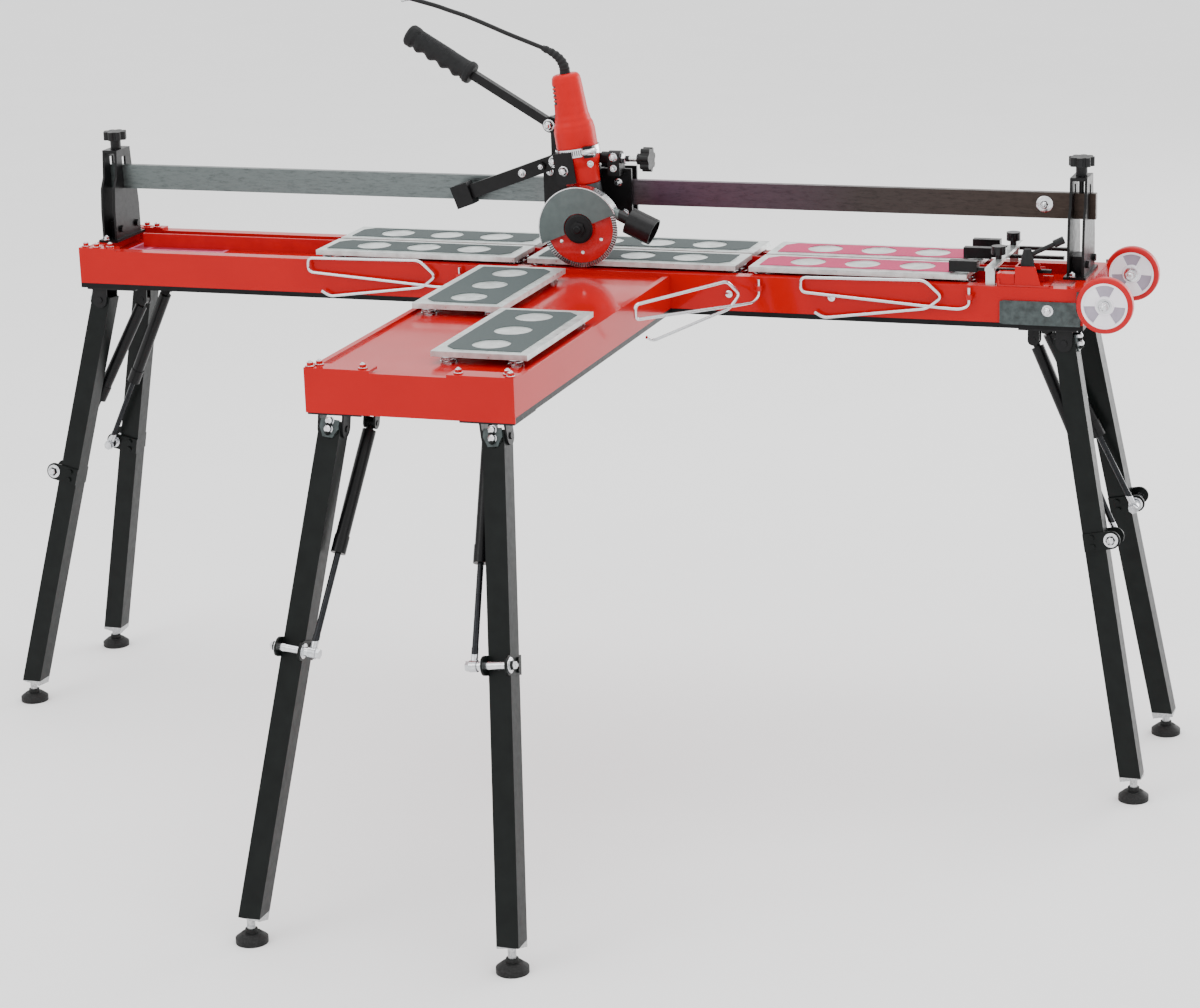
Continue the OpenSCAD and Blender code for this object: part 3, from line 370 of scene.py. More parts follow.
bar_left, bar_right = at(1.5475, 0, 0).x, at(1.5625, 0, 0).x
in_bar = both(stop_red, height_mask(stop_red, "X", bar_left),
              height_mask(stop_red, "X", bar_right, below=True))
overlay(stop_red, in_bar, stop_bar, 0.8, 0.35, 90)
near_bar = both(stop_red, height_mask(stop_red, "X", bar_left - 0.006),
                height_mask(stop_red, "X", bar_right + 0.006, below=True))
on_knobs = both(stop_red, near_bar, height_mask(stop_red, "Z", TRAY_TOP + 0.0277))
overlay(stop_red, on_knobs, soot, 0.0, 0.45, 200)
overlay(guard_paint, height_mask(guard_paint, "X", BLADE.x + 0.0665), soot, 0.0, 0.28, 200)
knob_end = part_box("tilt_knob")[0].x
tilt_plastic = finish("tilt_plastic", (0.007, 0.0075, 0.008), rough=(0.35, 0.5), grain=80, vary=0.3)
on_stud = height_mask(tilt_plastic, "X", knob_end + 0.0138, below=True)
overlay(tilt_plastic, on_stud, stop_bar, 1.0, 0.25, 300)
OWN_FINISH = {"stop_frame": stop_red, "tilt_knob": tilt_plastic, "breaking_bar": wheel_red}

# %% [markdown]
# ## Dress the CAD parts
# Each CAD node takes the finish of its slot in the record, apart from a few with a finish of their own. The
# listed parts, among them the trays, rail, legs and plates, get a small bevel, because a folded or cast edge
# always catches a line of light.

# %% Slots to finishes
FINISHES = {"red_paint": red_paint, "black_trim": black_trim, "black_steel": black_steel,
            "dark_plate": dark_plate, "zinc": zinc, "rail_steel": rail_steel, "black_plastic": black_plastic,
            "grip_rubber": grip_rubber, "cord_rubber": cord_rubber, "saw_shell": saw_shell,
            "head_metal": head_metal, "guard_paint": guard_paint, "blade_red": blade_red,
            "plate_zinc": plate_grey, "chrome_wire": chrome, "wheel_red": wheel_red, "leg_black": leg_black,
            "stay_black": stay_black, "stay_rod": rod_steel}
BEVELS = {"main_tray": 0.0016, "arm_tray": 0.0016, "rail_bar": 0.0008, "gear_head": 0.0012,
          "saw_mount": 0.0006, "carriage": 0.0007, "uprights": 0.0007, "lever": 0.0010, "breaker_arm": 0.0010,
          "wheel_arms": 0.0006, "edge_trim": 0.0008, "stop_slide": 0.0008, "stop_frame": 0.0006,
          "corner_plates": 0.0005}

for part in frame["record"]["subparts"]:
    obj = nodes[part["node"]]
    obj.data.materials.clear()
    # The two right-hand plates take the pad with painted reflection: the pink stands for light from the
    # right.
    pink = part["node"] in ("plate_front_right", "plate_back_right")
    usual = plate_painted_reflection if pink else FINISHES[part["material_slot"]]
    obj.data.materials.append(OWN_FINISH.get(part["node"], usual))
    soft = part["node"].startswith(("leg_", "plate_front", "plate_back", "plate_arm"))
    width = BEVELS.get(part["node"], 0.0009 if soft else 0)
    if width:
        bevel = obj.modifiers.new("edges", "BEVEL")
        bevel.width = width
        bevel.segments = 2
        bevel.limit_method = "ANGLE"
        bevel.angle_limit = math.radians(40)
        bevel.harden_normals = False

# %% [markdown]
# ## Helpers for shapes
# Three kinds of shape make nearly all the small parts: a round bar along a line, a profile turned about an
# axis, and a bolt, which is a turned profile with six flats.


# %% Shape helpers
def piece(name, verts, faces, body, mat, slot_name, smooth=True, keep=0.7):
    """A mesh that moves with a CAD body and takes the finish it is given; slot_name is not used."""
    mesh = bpy.data.meshes.new(name)
    mesh.from_pydata([tuple(v) for v in verts], [], faces)
    mesh.validate()
    shell = bmesh.new()
    shell.from_mesh(mesh)
    bmesh.ops.recalc_face_normals(shell, faces=shell.faces)
    shell.to_mesh(mesh)
    shell.free()
    obj = bpy.data.objects.new(name, mesh)
    bpy.context.scene.collection.objects.link(obj)
    mesh.materials.append(mat)
    if smooth:
        mesh.shade_smooth()
        mesh.set_sharp_from_angle(angle=keep)
    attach(obj, body)
    return obj


def merge(parts):
    """One set of points and faces from several."""
    verts, faces = [], []
    for some_verts, some_faces in parts:
        first = len(verts)
        verts.extend(some_verts)
        faces.extend([tuple(first + i for i in f) for f in some_faces])
    return verts, faces


def tube(points, radius, sides=12):
    """A round bar along a line of points; radius is one number or one for each point."""
    count = len(points)
    radii = radius if isinstance(radius, list) else [radius] * count
    tangents = [(points[min(k + 1, count - 1)] - points[max(k - 1, 0)]).normalized() for k in range(count)]
    across = tangents[0].orthogonal().normalized()
    verts, faces = [], []
    for k in range(count):
        across = (across - tangents[k] * across.dot(tangents[k])).normalized()
        other = tangents[k].cross(across)
        for s in range(sides):
            turn = 2 * math.pi * s / sides
            verts.append(points[k] + (across * math.cos(turn) + other * math.sin(turn)) * radii[k])
    for k in range(count - 1):
        for s in range(sides):
            a, b = k * sides + s, k * sides + (s + 1) % sides
            faces.append((a, b, b + sides, a + sides))
    faces.append(tuple(range(sides - 1, -1, -1)))
    faces.append(tuple(range((count - 1) * sides, count * sides)))
    return verts, faces


def turned(profile, base, axis, sides=32, flats=0, caps=True):
    """(radius, height) pairs turned about an axis from base; flats makes a nut, caps closes the ends."""
    axis = Vector(axis).normalized()
    across = axis.orthogonal().normalized()
    other = axis.cross(across)
    verts, faces = [], []
    for radius, height in profile:
        for s in range(sides):
            turn = 2 * math.pi * s / sides
            reach = radius
            if flats:
                wedge = math.pi / flats
                reach = radius * math.cos(wedge) / math.cos((turn % (2 * wedge)) - wedge)
            verts.append(base + axis * height + (across * math.cos(turn) + other * math.sin(turn)) * reach)
    rows = len(profile)
    for k in range(rows - 1):
        for s in range(sides):
            a, b = k * sides + s, k * sides + (s + 1) % sides
            faces.append((a, b, b + sides, a + sides))
    if caps:
        faces.append(tuple(range(sides - 1, -1, -1)))
        faces.append(tuple(range((rows - 1) * sides, rows * sides)))
    return verts, faces


def bolt(spot, axis, size=0.013, washer=1.0):
    """A hexagon bolt head on a washer, with its chamfer and a domed middle."""
    radius, axis = size * 0.43, Vector(axis).normalized()
    ring = turned([(radius * 1.3 * washer, 0), (radius * 1.36 * washer, 0.0003),
                   (radius * 1.36 * washer, 0.0012), (radius * 1.2, 0.0016)], spot, axis, 36)
    head = turned([(radius, 0.0014), (radius, 0.0014 + size * 0.40), (radius * 0.88, 0.0014 + size * 0.48)],
                  spot, axis, 36, flats=6)
    crown = turned([(radius * 0.6, 0), (radius * 0.6, 0.0018 + size * 0.5),
                    (radius * 0.35, 0.0022 + size * 0.58)], spot, axis, 24)
    return merge([ring, head, crown])


def rounded(points, bend, steps=7):
    """A line of corners with each corner rounded."""
    smooth = [points[0]]
    for before, corner, after in zip(points, points[1:], points[2:]):
        reach_a = min(bend, (before - corner).length * 0.45)
        reach_b = min(bend, (after - corner).length * 0.45)
        reach = min(reach_a, reach_b)
        p = corner + (before - corner).normalized() * reach
        q = corner + (after - corner).normalized() * reach
        for k in range(steps + 1):
            t = k / steps
            smooth.append(p * (1 - t) ** 2 + corner * 2 * t * (1 - t) + q * t * t)
    return smooth + [points[-1]]


# %% [markdown]
# ## The saw
# The blade has a bright toothed rim of pressed segments on a red disc. Each tooth is a slanted block, so that
# the rim sparkles when the blade turns.

# %% Toothed rim
TEETH, TOOTH_ROOT, TOOTH_TIP = 96, 0.0556, 0.0628
BOX_SIDES = [(0, 1, 2, 3), (4, 7, 6, 5), (0, 4, 5, 1), (1, 5, 6, 2), (2, 6, 7, 3), (3, 7, 4, 0)]
blade_teeth = []
for k in range(TEETH):
    turn = 2 * math.pi * k / TEETH
    corners = []
    for y in (-0.00135, 0.00135):
        for r, lag in ((TOOTH_ROOT, 0.008), (TOOTH_TIP, 0.0), (TOOTH_TIP, 0.034), (TOOTH_ROOT, 0.042)):
            angle = turn + lag
            corners.append(BLADE + Vector((r * math.cos(angle), y, r * math.sin(angle))))
    blade_teeth.append((corners, BOX_SIDES))
piece("blade_teeth", *merge(blade_teeth), "blade", bright, "blade_red", smooth=False)
print("teeth", TEETH)

# %% Flange and nut
FRONT = Vector((0, -1, 0))
flange = merge([
    turned([(0.0234, 0), (0.0234, 0.0016), (0.0205, 0.0024), (0.0205, 0.0034), (0.0140, 0.0040)],
           BLADE + FRONT * 0.0058, FRONT, 48),
    turned([(0.0128, 0), (0.0128, 0.0030), (0.0100, 0.0036)], BLADE + FRONT * 0.0095, FRONT, 36, flats=6),
    turned([(0.0062, 0), (0.0062, 0.0035), (0.0048, 0.0048)], BLADE + FRONT * 0.0120, FRONT, 24)])
piece("blade_flange", *flange, "blade", black_steel, "blade_red")

# %% [markdown]
# ### Housing
# The motor's housing is a tapered grip with slightly flat sides. Its shape is a stack of rounded squares; the
# air slots are rows of faces pushed in and painted black.

# %% Housing shell
SADDLE = Matrix.Translation(at(0.892, 0.060, 0.859)) @ Matrix.Rotation(math.radians(-8), 4, "Y")
HOUSING = [(0.0640, 0.0262, 2.2), (0.0660, 0.0278, 2.2), (0.0900, 0.0290, 2.4), (0.1030, 0.0326, 2.3),
           (0.1060, 0.0330, 2.1), (0.1240, 0.0330, 2.1), (0.1270, 0.0328, 2.4), (0.1500, 0.0326, 2.6),
           (0.1580, 0.0314, 2.7), (0.1680, 0.0282, 2.7), (0.1780, 0.0263, 2.7), (0.1920, 0.0254, 2.6),
           (0.2120, 0.0244, 2.5), (0.2280, 0.0235, 2.5), (0.2350, 0.0226, 2.4), (0.2390, 0.0206, 2.3),
           (0.2410, 0.0172, 2.1)]
ROUND = 72


def housing_at(z):
    """Radius and squareness of the housing at a height."""
    for (z0, r0, n0), (z1, r1, n1) in zip(HOUSING, HOUSING[1:]):
        if z0 <= z <= z1:
            share = (z - z0) / (z1 - z0)
            ease = share * share * (3 - 2 * share)
            return r0 + (r1 - r0) * ease, n0 + (n1 - n0) * share
    return HOUSING[-1][1:]


levels = [HOUSING[0][0] + (HOUSING[-1][0] - HOUSING[0][0]) * k / 120 for k in range(121)]
verts, faces, dark = [], [], []


def in_slot(angle, z):
    """Whether an air slot lies at this place on the housing."""
    side = math.cos(angle) < -0.55
    return side and 0.196 < z < 0.228 and (z - 0.196) % 0.0064 < 0.0030


for z in levels:
    radius, power = housing_at(z)
    for s in range(ROUND):
        angle = 2 * math.pi * (s + 0.5) / ROUND
        c, d = math.cos(angle), math.sin(angle)
        square = (abs(c) ** power + abs(d) ** power) ** (-1 / power)
        limit = min(square, 1.0 + 0.02 * (power - 2))
        reach = radius * limit - (0.0016 if in_slot(angle, z) else 0)
        seam = abs(d) < 0.05 and c < 0
        reach -= 0.0005 if seam else 0
        verts.append(SADDLE @ Vector((reach * c, reach * d, z)))
for k in range(len(levels) - 1):
    for s in range(ROUND):
        a, b = k * ROUND + s, k * ROUND + (s + 1) % ROUND
        faces.append((a, b, b + ROUND, a + ROUND))
        middle = 2 * math.pi * (s + 1) / ROUND
        dark.append(in_slot(middle, (levels[k] + levels[k + 1]) / 2))
faces.append(tuple(range(ROUND - 1, -1, -1)))
faces.append(tuple(range((len(levels) - 1) * ROUND, len(levels) * ROUND)))
housing = piece("housing_shell", verts, faces, "saw", saw_shell, "saw_shell", keep=1.0)
housing.data.materials.append(black_plastic)
for polygon, is_dark in zip(housing.data.polygons, dark + [False, False]):
    polygon.material_index = 1 if is_dark else 0
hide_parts("saw_body")
print("housing faces", len(housing.data.polygons))


# %% Hose clamp
def in_saw(x, y, z):
    """A point given in the saw's own leaning axes."""
    return SADDLE @ Vector((x, y, z))


UP = (SADDLE.to_3x3() @ Vector((0, 0, 1))).normalized()
RIGHT = (SADDLE.to_3x3() @ Vector((1, 0, 0))).normalized()
band = turned([(0.0350, 0), (0.0358, 0.0004), (0.0358, 0.0136), (0.0350, 0.0140)], in_saw(0, 0, 0.110),
              UP, 72)
piece("clamp_band", *band, "saw", bright, "saw_shell")
slots = []
for k in range(26):
    turn = math.radians(200 + k * 5.4)
    centre = in_saw(0.0356 * math.cos(turn), 0.0356 * math.sin(turn), 0.1170)
    out = (centre - in_saw(0, 0, 0.1170)).normalized()
    side = out.cross(UP)
    box = []
    for depth in (-0.0004, 0.0005):
        for u, w in ((-0.0006, -0.0045), (0.0006, -0.0040), (0.0006, 0.0045), (-0.0006, 0.0040)):
            box.append(centre + out * depth + side * u + UP * w)
    slots.append((box, BOX_SIDES))
piece("clamp_slots", *merge(slots), "saw", black_steel, "black_steel", smooth=False)
worm_at, worm_axis = in_saw(0.030, -0.034, 0.117), RIGHT + FRONT * 0.15
worm = merge([
    turned([(0.0052, -0.010), (0.0060, -0.008), (0.0060, 0.008), (0.0052, 0.010)], worm_at, worm_axis, 28),
    turned([(0.0040, 0.010), (0.0040, 0.0155), (0.0030, 0.0165)], worm_at, worm_axis, 24, flats=6)])
piece("clamp_worm", *worm, "saw", bright, "saw_shell")

# %% [markdown]
# ### Grip
# The rubber grip has four finger grooves along its underside, fine ribs along the top of its upper half, and
# a collar at each end.

# %% Grip
LEVER_TURN = math.radians(30.5)
LEVER_ALONG = Vector((-math.cos(LEVER_TURN), 0, math.sin(LEVER_TURN)))
LEVER_UP = Vector((math.sin(LEVER_TURN), 0, math.cos(LEVER_TURN)))
LEVER_BASE = at(0.825, 0.080, 1.013)


def in_lever(along, up, back):
    """A point given along the lever, square to it and across it."""
    return LEVER_BASE + LEVER_ALONG * along + LEVER_UP * up - FRONT * back


GRIP_START, GRIP_LENGTH = 0.152, 0.128
GROOVES_FROM, GROOVES_TO, RIBS_FROM = 0.016, 0.112, 0.045
FINGER = 0.024
GRIP_LINE = [(0.0, 0.0110), (0.0006, 0.0165), (0.0040, 0.0186), (0.0100, 0.0188), (0.0130, 0.0168),
             (0.0200, 0.0162), (0.1080, 0.0164), (0.1140, 0.0184), (0.1230, 0.0182), (0.1270, 0.0150),
             (0.1280, 0.0090)]


def grip_radius(t, angle):
    """How far the grip's skin stands from its axis at a distance along it and an angle from its top."""
    for (t0, r0), (t1, r1) in zip(GRIP_LINE, GRIP_LINE[1:]):
        if t0 <= t <= t1:
            radius = r0 + (r1 - r0) * (t - t0) / (t1 - t0)
            break
    if GROOVES_FROM < t < GROOVES_TO:
        low, high = max(0.0, -math.cos(angle)), max(0.0, math.cos(angle))
        radius += low * 0.0026 * (-math.cos((t - GROOVES_FROM) / FINGER * 2 * math.pi))
        radius += 0.0007 * high * (math.sin(t * 2200) > 0) * (t > RIBS_FROM)
    return radius


steps, around = 170, 40
verts, faces = [], []
for k in range(steps + 1):
    t = GRIP_LENGTH * k / steps
    for q in range(around):
        angle = 2 * math.pi * q / around
        r = grip_radius(t, angle)
        verts.append(in_lever(GRIP_START + t, r * math.cos(angle), r * math.sin(angle)))
for k in range(steps):
    for q in range(around):
        a, b = k * around + q, k * around + (q + 1) % around
        faces.append((a, b, b + around, a + around))
faces.append(tuple(range(around - 1, -1, -1)))
faces.append(tuple(range(steps * around, (steps + 1) * around)))
grip = piece("grip_rubber", verts, faces, "lever", grip_rubber, "grip_rubber", keep=0.6)
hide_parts("lever_grip")
print("grip rings", steps)

# %% [markdown]
# ### Guard
# The guard's rim is a bright band wrapped around the grey face.

# %% Guard rim
GUARD_R = 0.0670
arc = [BLADE + Vector((GUARD_R * math.cos(math.radians(a)), 0, GUARD_R * math.sin(math.radians(a))))
       for a in range(23, 203, 3)]
verts, faces = [], []
for k, p in enumerate(arc):
    out = (p - BLADE).normalized()
    for y, lift in ((-0.0086, -0.0012), (-0.0086, 0.0004), (0.0126, 0.0004), (0.0126, -0.0012)):
        verts.append(p + out * lift + Vector((0, y, 0)))
for k in range(len(arc) - 1):
    for s in range(4):
        a, b = 4 * k + s, 4 * k + (s + 1) % 4
        faces.append((a, b, b + 4, a + 4))
faces += [(3, 2, 1, 0), tuple(range(4 * len(arc) - 4, 4 * len(arc)))]
piece("guard_rim", verts, faces, "saw", bright, "guard_paint", keep=0.5)

# %% [markdown]
# ## Power cord
# The cord leaves the housing through a tapered sleeve, and goes up to the left in a shallow curve. Something
# above the view holds it up, so it ends there.

# %% Cord and sleeve
SLEEVE = [(0.85843, 1.09786), (0.8568, 1.1095), (0.850, 1.121), (0.838, 1.1305), (0.822, 1.138)]
CORD = [(0.822, 1.138), (0.806, 1.144), (0.784, 1.152), (0.760, 1.161), (0.735, 1.171), (0.712, 1.180),
        (0.690, 1.188), (0.667, 1.195), (0.645, 1.202), (0.622, 1.208), (0.598, 1.214)]
CORD_Y = 0.060
CORD_R = 0.0036


def curve_through(spots, steps):
    """A smooth line through points given as (along, up) pairs in the cord's upright plane."""
    points = [at(x, CORD_Y, z) for x, z in spots]
    line = []
    for k in range(len(points) - 1):
        p0, p1 = points[max(k - 1, 0)], points[k]
        p2, p3 = points[k + 1], points[min(k + 2, len(points) - 1)]
        for s in range(steps):
            t = s / steps
            line.append(0.5 * (2 * p1 + (p2 - p0) * t + (2 * p0 - 5 * p1 + 4 * p2 - p3) * t * t
                               + (3 * p1 - p0 - 3 * p2 + p3) * t ** 3))
    return line + [points[-1]]


cord_line = curve_through(CORD, 8)
cord = piece("power_cord_run", *tube(cord_line, CORD_R, 20), "saw", cord_rubber, "cord_rubber")
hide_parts("power_cord")
sleeve_line = curve_through(SLEEVE, 12)
radii = []
for k in range(len(sleeve_line)):
    share = k / (len(sleeve_line) - 1)
    radii.append(0.009 - 0.004 * share + (0.0006 if k % 6 < 3 and 0.15 < share < 0.95 else -0.0002))
sleeve = piece("cord_sleeve", *tube(sleeve_line, radii, 28), "saw", cord_rubber, "grip_rubber", keep=0.9)
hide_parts("cord_relief")

# %% [markdown]
# ## Wire supports
# Each folding support is one bent chrome wire. The corners are rounded, as a wire bender leaves them.

# %% Smooth wires
WIRE_TOP, WIRE_LOW, WIRE_LEN = TRAY_TOP + 0.004, TRAY_TOP - 0.020, 0.266
ROUTE = [(0, WIRE_LOW + 0.018), (0, WIRE_LOW - 0.010), (-0.014, WIRE_LOW - 0.016), (-0.040, WIRE_LOW - 0.015),
         (-WIRE_LEN, WIRE_LOW + 0.001), (-WIRE_LEN, WIRE_TOP), (-0.070, WIRE_TOP + 0.003),
         (-0.042, WIRE_LOW + 0.002), (-0.066, WIRE_LOW - 0.017), (-0.230, WIRE_LOW - 0.038),
         (-0.244, WIRE_LOW - 0.030)]
for name, x, turn in (("left", 0.691, 0), ("middle", 1.192, 62), ("right", 1.526, 0)):
    spin = Matrix.Rotation(math.radians(turn), 3, "Z")
    foot = at(x, -0.009, 0)
    line = rounded([foot + spin @ Vector((u, 0, z)) for u, z in ROUTE], 0.009)
    wire = piece("wire_run_" + name, *tube(line, 0.0025, 14), "wire_" + name, chrome, "chrome_wire")
    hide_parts("wire_" + name)
print("wires", 3)

# %% [markdown]
# ## Springs under the plates
# A plate floats on four cone-shaped springs, so that it gives way when the breaker arm presses a tile.


# %% Cone springs
def cone_spring(foot, height, wide=0.0118, narrow=0.0084, turns=4.5):
    """A spring that stands on foot, wide below and narrow above."""
    count = int(turns * 18)
    line = []
    for k in range(count + 1):
        share = k / count
        radius = wide + (narrow - wide) * share
        angle = 2 * math.pi * turns * share
        up = 0.0012 + height * share
        line.append(foot + Vector((radius * math.cos(angle), radius * math.sin(angle), up)))
    return tube(line, 0.00095, 6)


UNDER = PLATE_TOP - 0.002
DECK = TRAY_TOP - 0.016
ARM_DECK = TRAY_TOP - 0.007
springs = 0
for name in [n for n in nodes if n.startswith("plate_") and n != "plate_posts"]:
    low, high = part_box(name)
    across_y = (high.x - low.x) > (high.y - low.y)
    dx, dy = (0.013, 0.022) if across_y else (0.022, 0.013)
    groups = {}
    for x in (low.x + dx, high.x - dx):
        for y in (low.y + dy, high.y - dy):
            if not across_y:
                base = ARM_DECK
            else:
                base = TRAY_TOP if y > tray_high.y - 0.022 else DECK
            groups.setdefault(base, []).append(cone_spring(Vector((x, y, base)), UNDER - base - 0.0030))
    for base, coils in groups.items():
        level = "rim" if base == TRAY_TOP else "deck"
        obj = piece(name.replace("plate_", "springs_") + "_" + level, *merge(coils), "root", spring, "zinc")
        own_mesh(obj)
        springs += len(coils)
print("springs", springs)

# %% [markdown]
# ## Bolts
# Bright bolt heads sit on the black steel, as zinc fasteners do. They are placed where the CAD model has its
# plain ones.

# %% Bolts on the saw and its carriage
LEVER_PIN = at(0.825, 0.068, 1.013)
ARM_PIN = at(0.830, 0.074, 0.953)
carriage_bolts = [bolt(LEVER_PIN, FRONT, 0.0165), bolt(ARM_PIN, FRONT, 0.0165)]
for x, z in ((0.812, 0.868), (0.938, 0.868), (0.812, 0.932), (0.928, 0.918)):
    carriage_bolts.append(bolt(at(x, 0.102, z), FRONT, 0.011))
ear = at(0.918, 0.079, 0.958)
carriage_bolts.append(bolt(ear + Vector((0.010, 0, -0.014)), FRONT, 0.010))
carriage_bolts.append(bolt(ear + Vector((0.010, 0, 0.004)), FRONT, 0.012))
stud_nut = [(0.0075, 0), (0.0088, 0.001), (0.0088, 0.007), (0.0075, 0.008)]
carriage_bolts.append(turned(stud_nut, at(0.938, 0.092, 0.958), (1, 0, 0), 36, flats=6))
piece("carriage_bolts", *merge(carriage_bolts), "carriage", bright, "zinc", keep=0.5)
saw_bolts = [bolt(in_saw(-0.016, -0.037, 0.092), FRONT, 0.0135),
             bolt(in_saw(0.030, -0.0335, 0.098), FRONT, 0.009)]
piece("mount_bolts", *merge(saw_bolts), "saw", bright, "zinc", keep=0.5)

# %% Breaker arm bolts
lean = math.radians(20)
breaker_bolts = []
for reach in (0.026, 0.062):
    spot = at(0.830 - reach * math.cos(lean), 0.080, 0.953 - reach * math.sin(lean))
    breaker_bolts.append(bolt(spot, FRONT, 0.011))
piece("breaker_bolts", *merge(breaker_bolts), "breaker", bright, "zinc", keep=0.5)

# %% Bolts on the table
table_bolts = []
arm_low, arm_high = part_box("arm_tray")
for dx, dy in ((0.007, 0.008), (0.016, 0.020), (0.086, 0.012)):
    for x in (arm_low.x + dx, arm_high.x - dx):
        table_bolts.append(bolt(Vector((x, arm_low.y + dy, arm_high.z + 0.0045)), (0, 0, 1), 0.0105))
for dx, dy in ((0.008, 0.012), (0.030, 0.008), (0.052, 0.014)):
    for y in (tray_low.y + dy, tray_high.y - dy):
        table_bolts.append(bolt(Vector((tray_low.x + dx, y, TRAY_TOP + 0.0045)), (0, 0, 1), 0.0105))
for x in (0.008, 1.660):
    table_bolts.append(bolt(at(x + 0.0095, 0.070, TRAY_TOP + 0.004), (0, 0, 1), 0.010))
    table_bolts.append(bolt(at(x + 0.0195, 0.166, TRAY_TOP + 0.004), (0, 0, 1), 0.010))
table_bolts.append(bolt(at(1.646, -0.003, 0.760), FRONT, 0.0150))
for y, side in ((-0.028, -1), (0.232, 1)):
    table_bolts.append(bolt(at(1.736, y, 0.775), (0, side, 0), 0.0150))
rivet = [(0.0034, 0), (0.0034, 0.003), (0.0058, 0.0034), (0.0058, 0.0052), (0.0035, 0.0062)]
for x, z in ((1.142, 0.766), (1.308, 0.767)):
    table_bolts.append(turned(rivet, at(x, 0.0, z), FRONT, 24))
piece("table_bolts", *merge(table_bolts), "root", bright, "zinc", keep=0.5)

big_washer = [(0.0125, 0), (0.0130, 0.0005), (0.0130, 0.0022), (0.0115, 0.0030)]
rail_bolt = merge([turned(big_washer, at(1.618, 0.1119, 0.902), FRONT, 40),
                   bolt(at(1.618, 0.1092, 0.902), FRONT, 0.0125)])
piece("rail_bolt", *rail_bolt, "rail", bright, "zinc", keep=0.5)
lock_nut = [(0.0070, 0.0006), (0.0076, 0.001), (0.0076, 0.0052), (0.0068, 0.006)]
for name, x in (("left", 0.008), ("right", 1.660)):
    top = at(x + 0.0135, 0.118, 0.947)
    nut = merge([turned([(0.0042, 0), (0.0042, 0.0150)], top, (0, 0, 1), 20),
                 turned(lock_nut, top, (0, 0, 1), 36, flats=6)])
    piece("rail_stud_" + name, *nut, "knob_" + name, bright, "zinc", keep=0.5)
print("bolts placed")

# %% [markdown]
# ## Hardware on the legs
# Each leg folds about a pin under the tray. A leg's own axes have the pin along one of them and the leg down
# another, so the same caps and clamp bolts can be placed six times.

# %% Leg axes
LEGS = [("front_left", 0.030, 0.024), ("back_left", 0.030, 0.180), ("front_right", 1.670, 0.024),
        ("back_right", 1.670, 0.180), ("arm_left", 0.762, -0.688), ("arm_right", 1.010, -0.688)]
PIVOT_Z, CLAMP_Z, FOOT_Z = 0.706, 0.404, 0.020
DROP = PIVOT_Z - FOOT_Z
SPREADS = {"left": 0.156, "right": 0.126}


def leg_axes(k):
    """Matrix of leg k's own axes, and its length from the pin to the foot's ball."""
    name, x, y = LEGS[k]
    arm = name.startswith("arm")
    spread = 0.217 if arm else SPREADS[name.split("_")[1]]
    tilt = math.atan((0.074 if arm else 0.076) / DROP)
    if arm:
        lean = Matrix.Rotation((1 if k == 4 else -1) * tilt, 4, "Y") @ Matrix.Rotation(math.pi / 2, 4, "Z")
    else:
        lean = Matrix.Rotation((-1 if k % 2 == 0 else 1) * tilt, 4, "X")
        lean = lean @ Matrix.Diagonal((1 if k < 2 else -1, 1, 1, 1))
    slant = DROP / math.cos(tilt)
    angle = math.atan(spread / slant)
    axes = Matrix.Translation(at(x, y, PIVOT_Z)) @ lean @ Matrix.Rotation(angle, 4, "Y")
    return axes, slant / math.cos(angle)


# %% Caps and clamp bolts
cap_nut = [(0.0066, 0), (0.0066, 0.0008), (0.0056, 0.001), (0.0056, 0.0040), (0.0048, 0.0062),
           (0.0026, 0.0078)]
cheek = [(0.0105, 0), (0.0112, 0.0004), (0.0112, 0.0018), (0.0098, 0.0022)]
outline = [(-0.0135, 0.0085), (0.0135, 0.0085), (0.0145, -0.004), (0.010, -0.012), (0.0075, -0.0175),
           (-0.0075, -0.0175), (-0.010, -0.012), (-0.0145, -0.004)]
for k, (name, x, y) in enumerate(LEGS):
    axes, length = leg_axes(k)
    turn = axes.to_3x3()
    outward, across = turn @ Vector((-1, 0, 0)), turn @ Vector((0, 1, 0))
    parts = []
    for z in (-0.004, 0.008):
        parts.append(turned(cap_nut, axes @ Vector((-0.0188, 0, z)), outward, 30))
    plate = [axes @ Vector((-depth, u, z + 0.002)) for depth in (0.0163, 0.0191) for u, z in outline]
    rim = [(i, (i + 1) % 8, (i + 1) % 8 + 8, i + 8) for i in range(8)]
    cover = (plate, [tuple(range(7, -1, -1)), tuple(range(8, 16))] + rim)
    piece("leg_plate_" + name, *cover, "leg_" + name, dark_plate, "dark_plate", smooth=False)
    down = -(PIVOT_Z - CLAMP_Z) / DROP * length
    pin = axes @ Vector((-0.0265, 0, down))
    for side in (-1, 1):
        parts.append(turned(cheek, pin + across * side * 0.0196, across * side, 32))
    parts.append(turned([(0.0058, -0.0165), (0.0058, 0.0165)], pin, across, 24))
    stay_side = 1 if k in (0, 2, 5) else -1
    parts.append(bolt(pin - across * stay_side * 0.0212, across * -stay_side, 0.0138))
    parts.append(turned([(0.0068, 0.0210), (0.0068, 0.0280), (0.0056, 0.0284)], pin, across * stay_side, 28))
    piece("leg_hardware_" + name, *merge(parts), "leg_" + name, bright, "zinc", keep=0.5)
print("legs", len(LEGS))
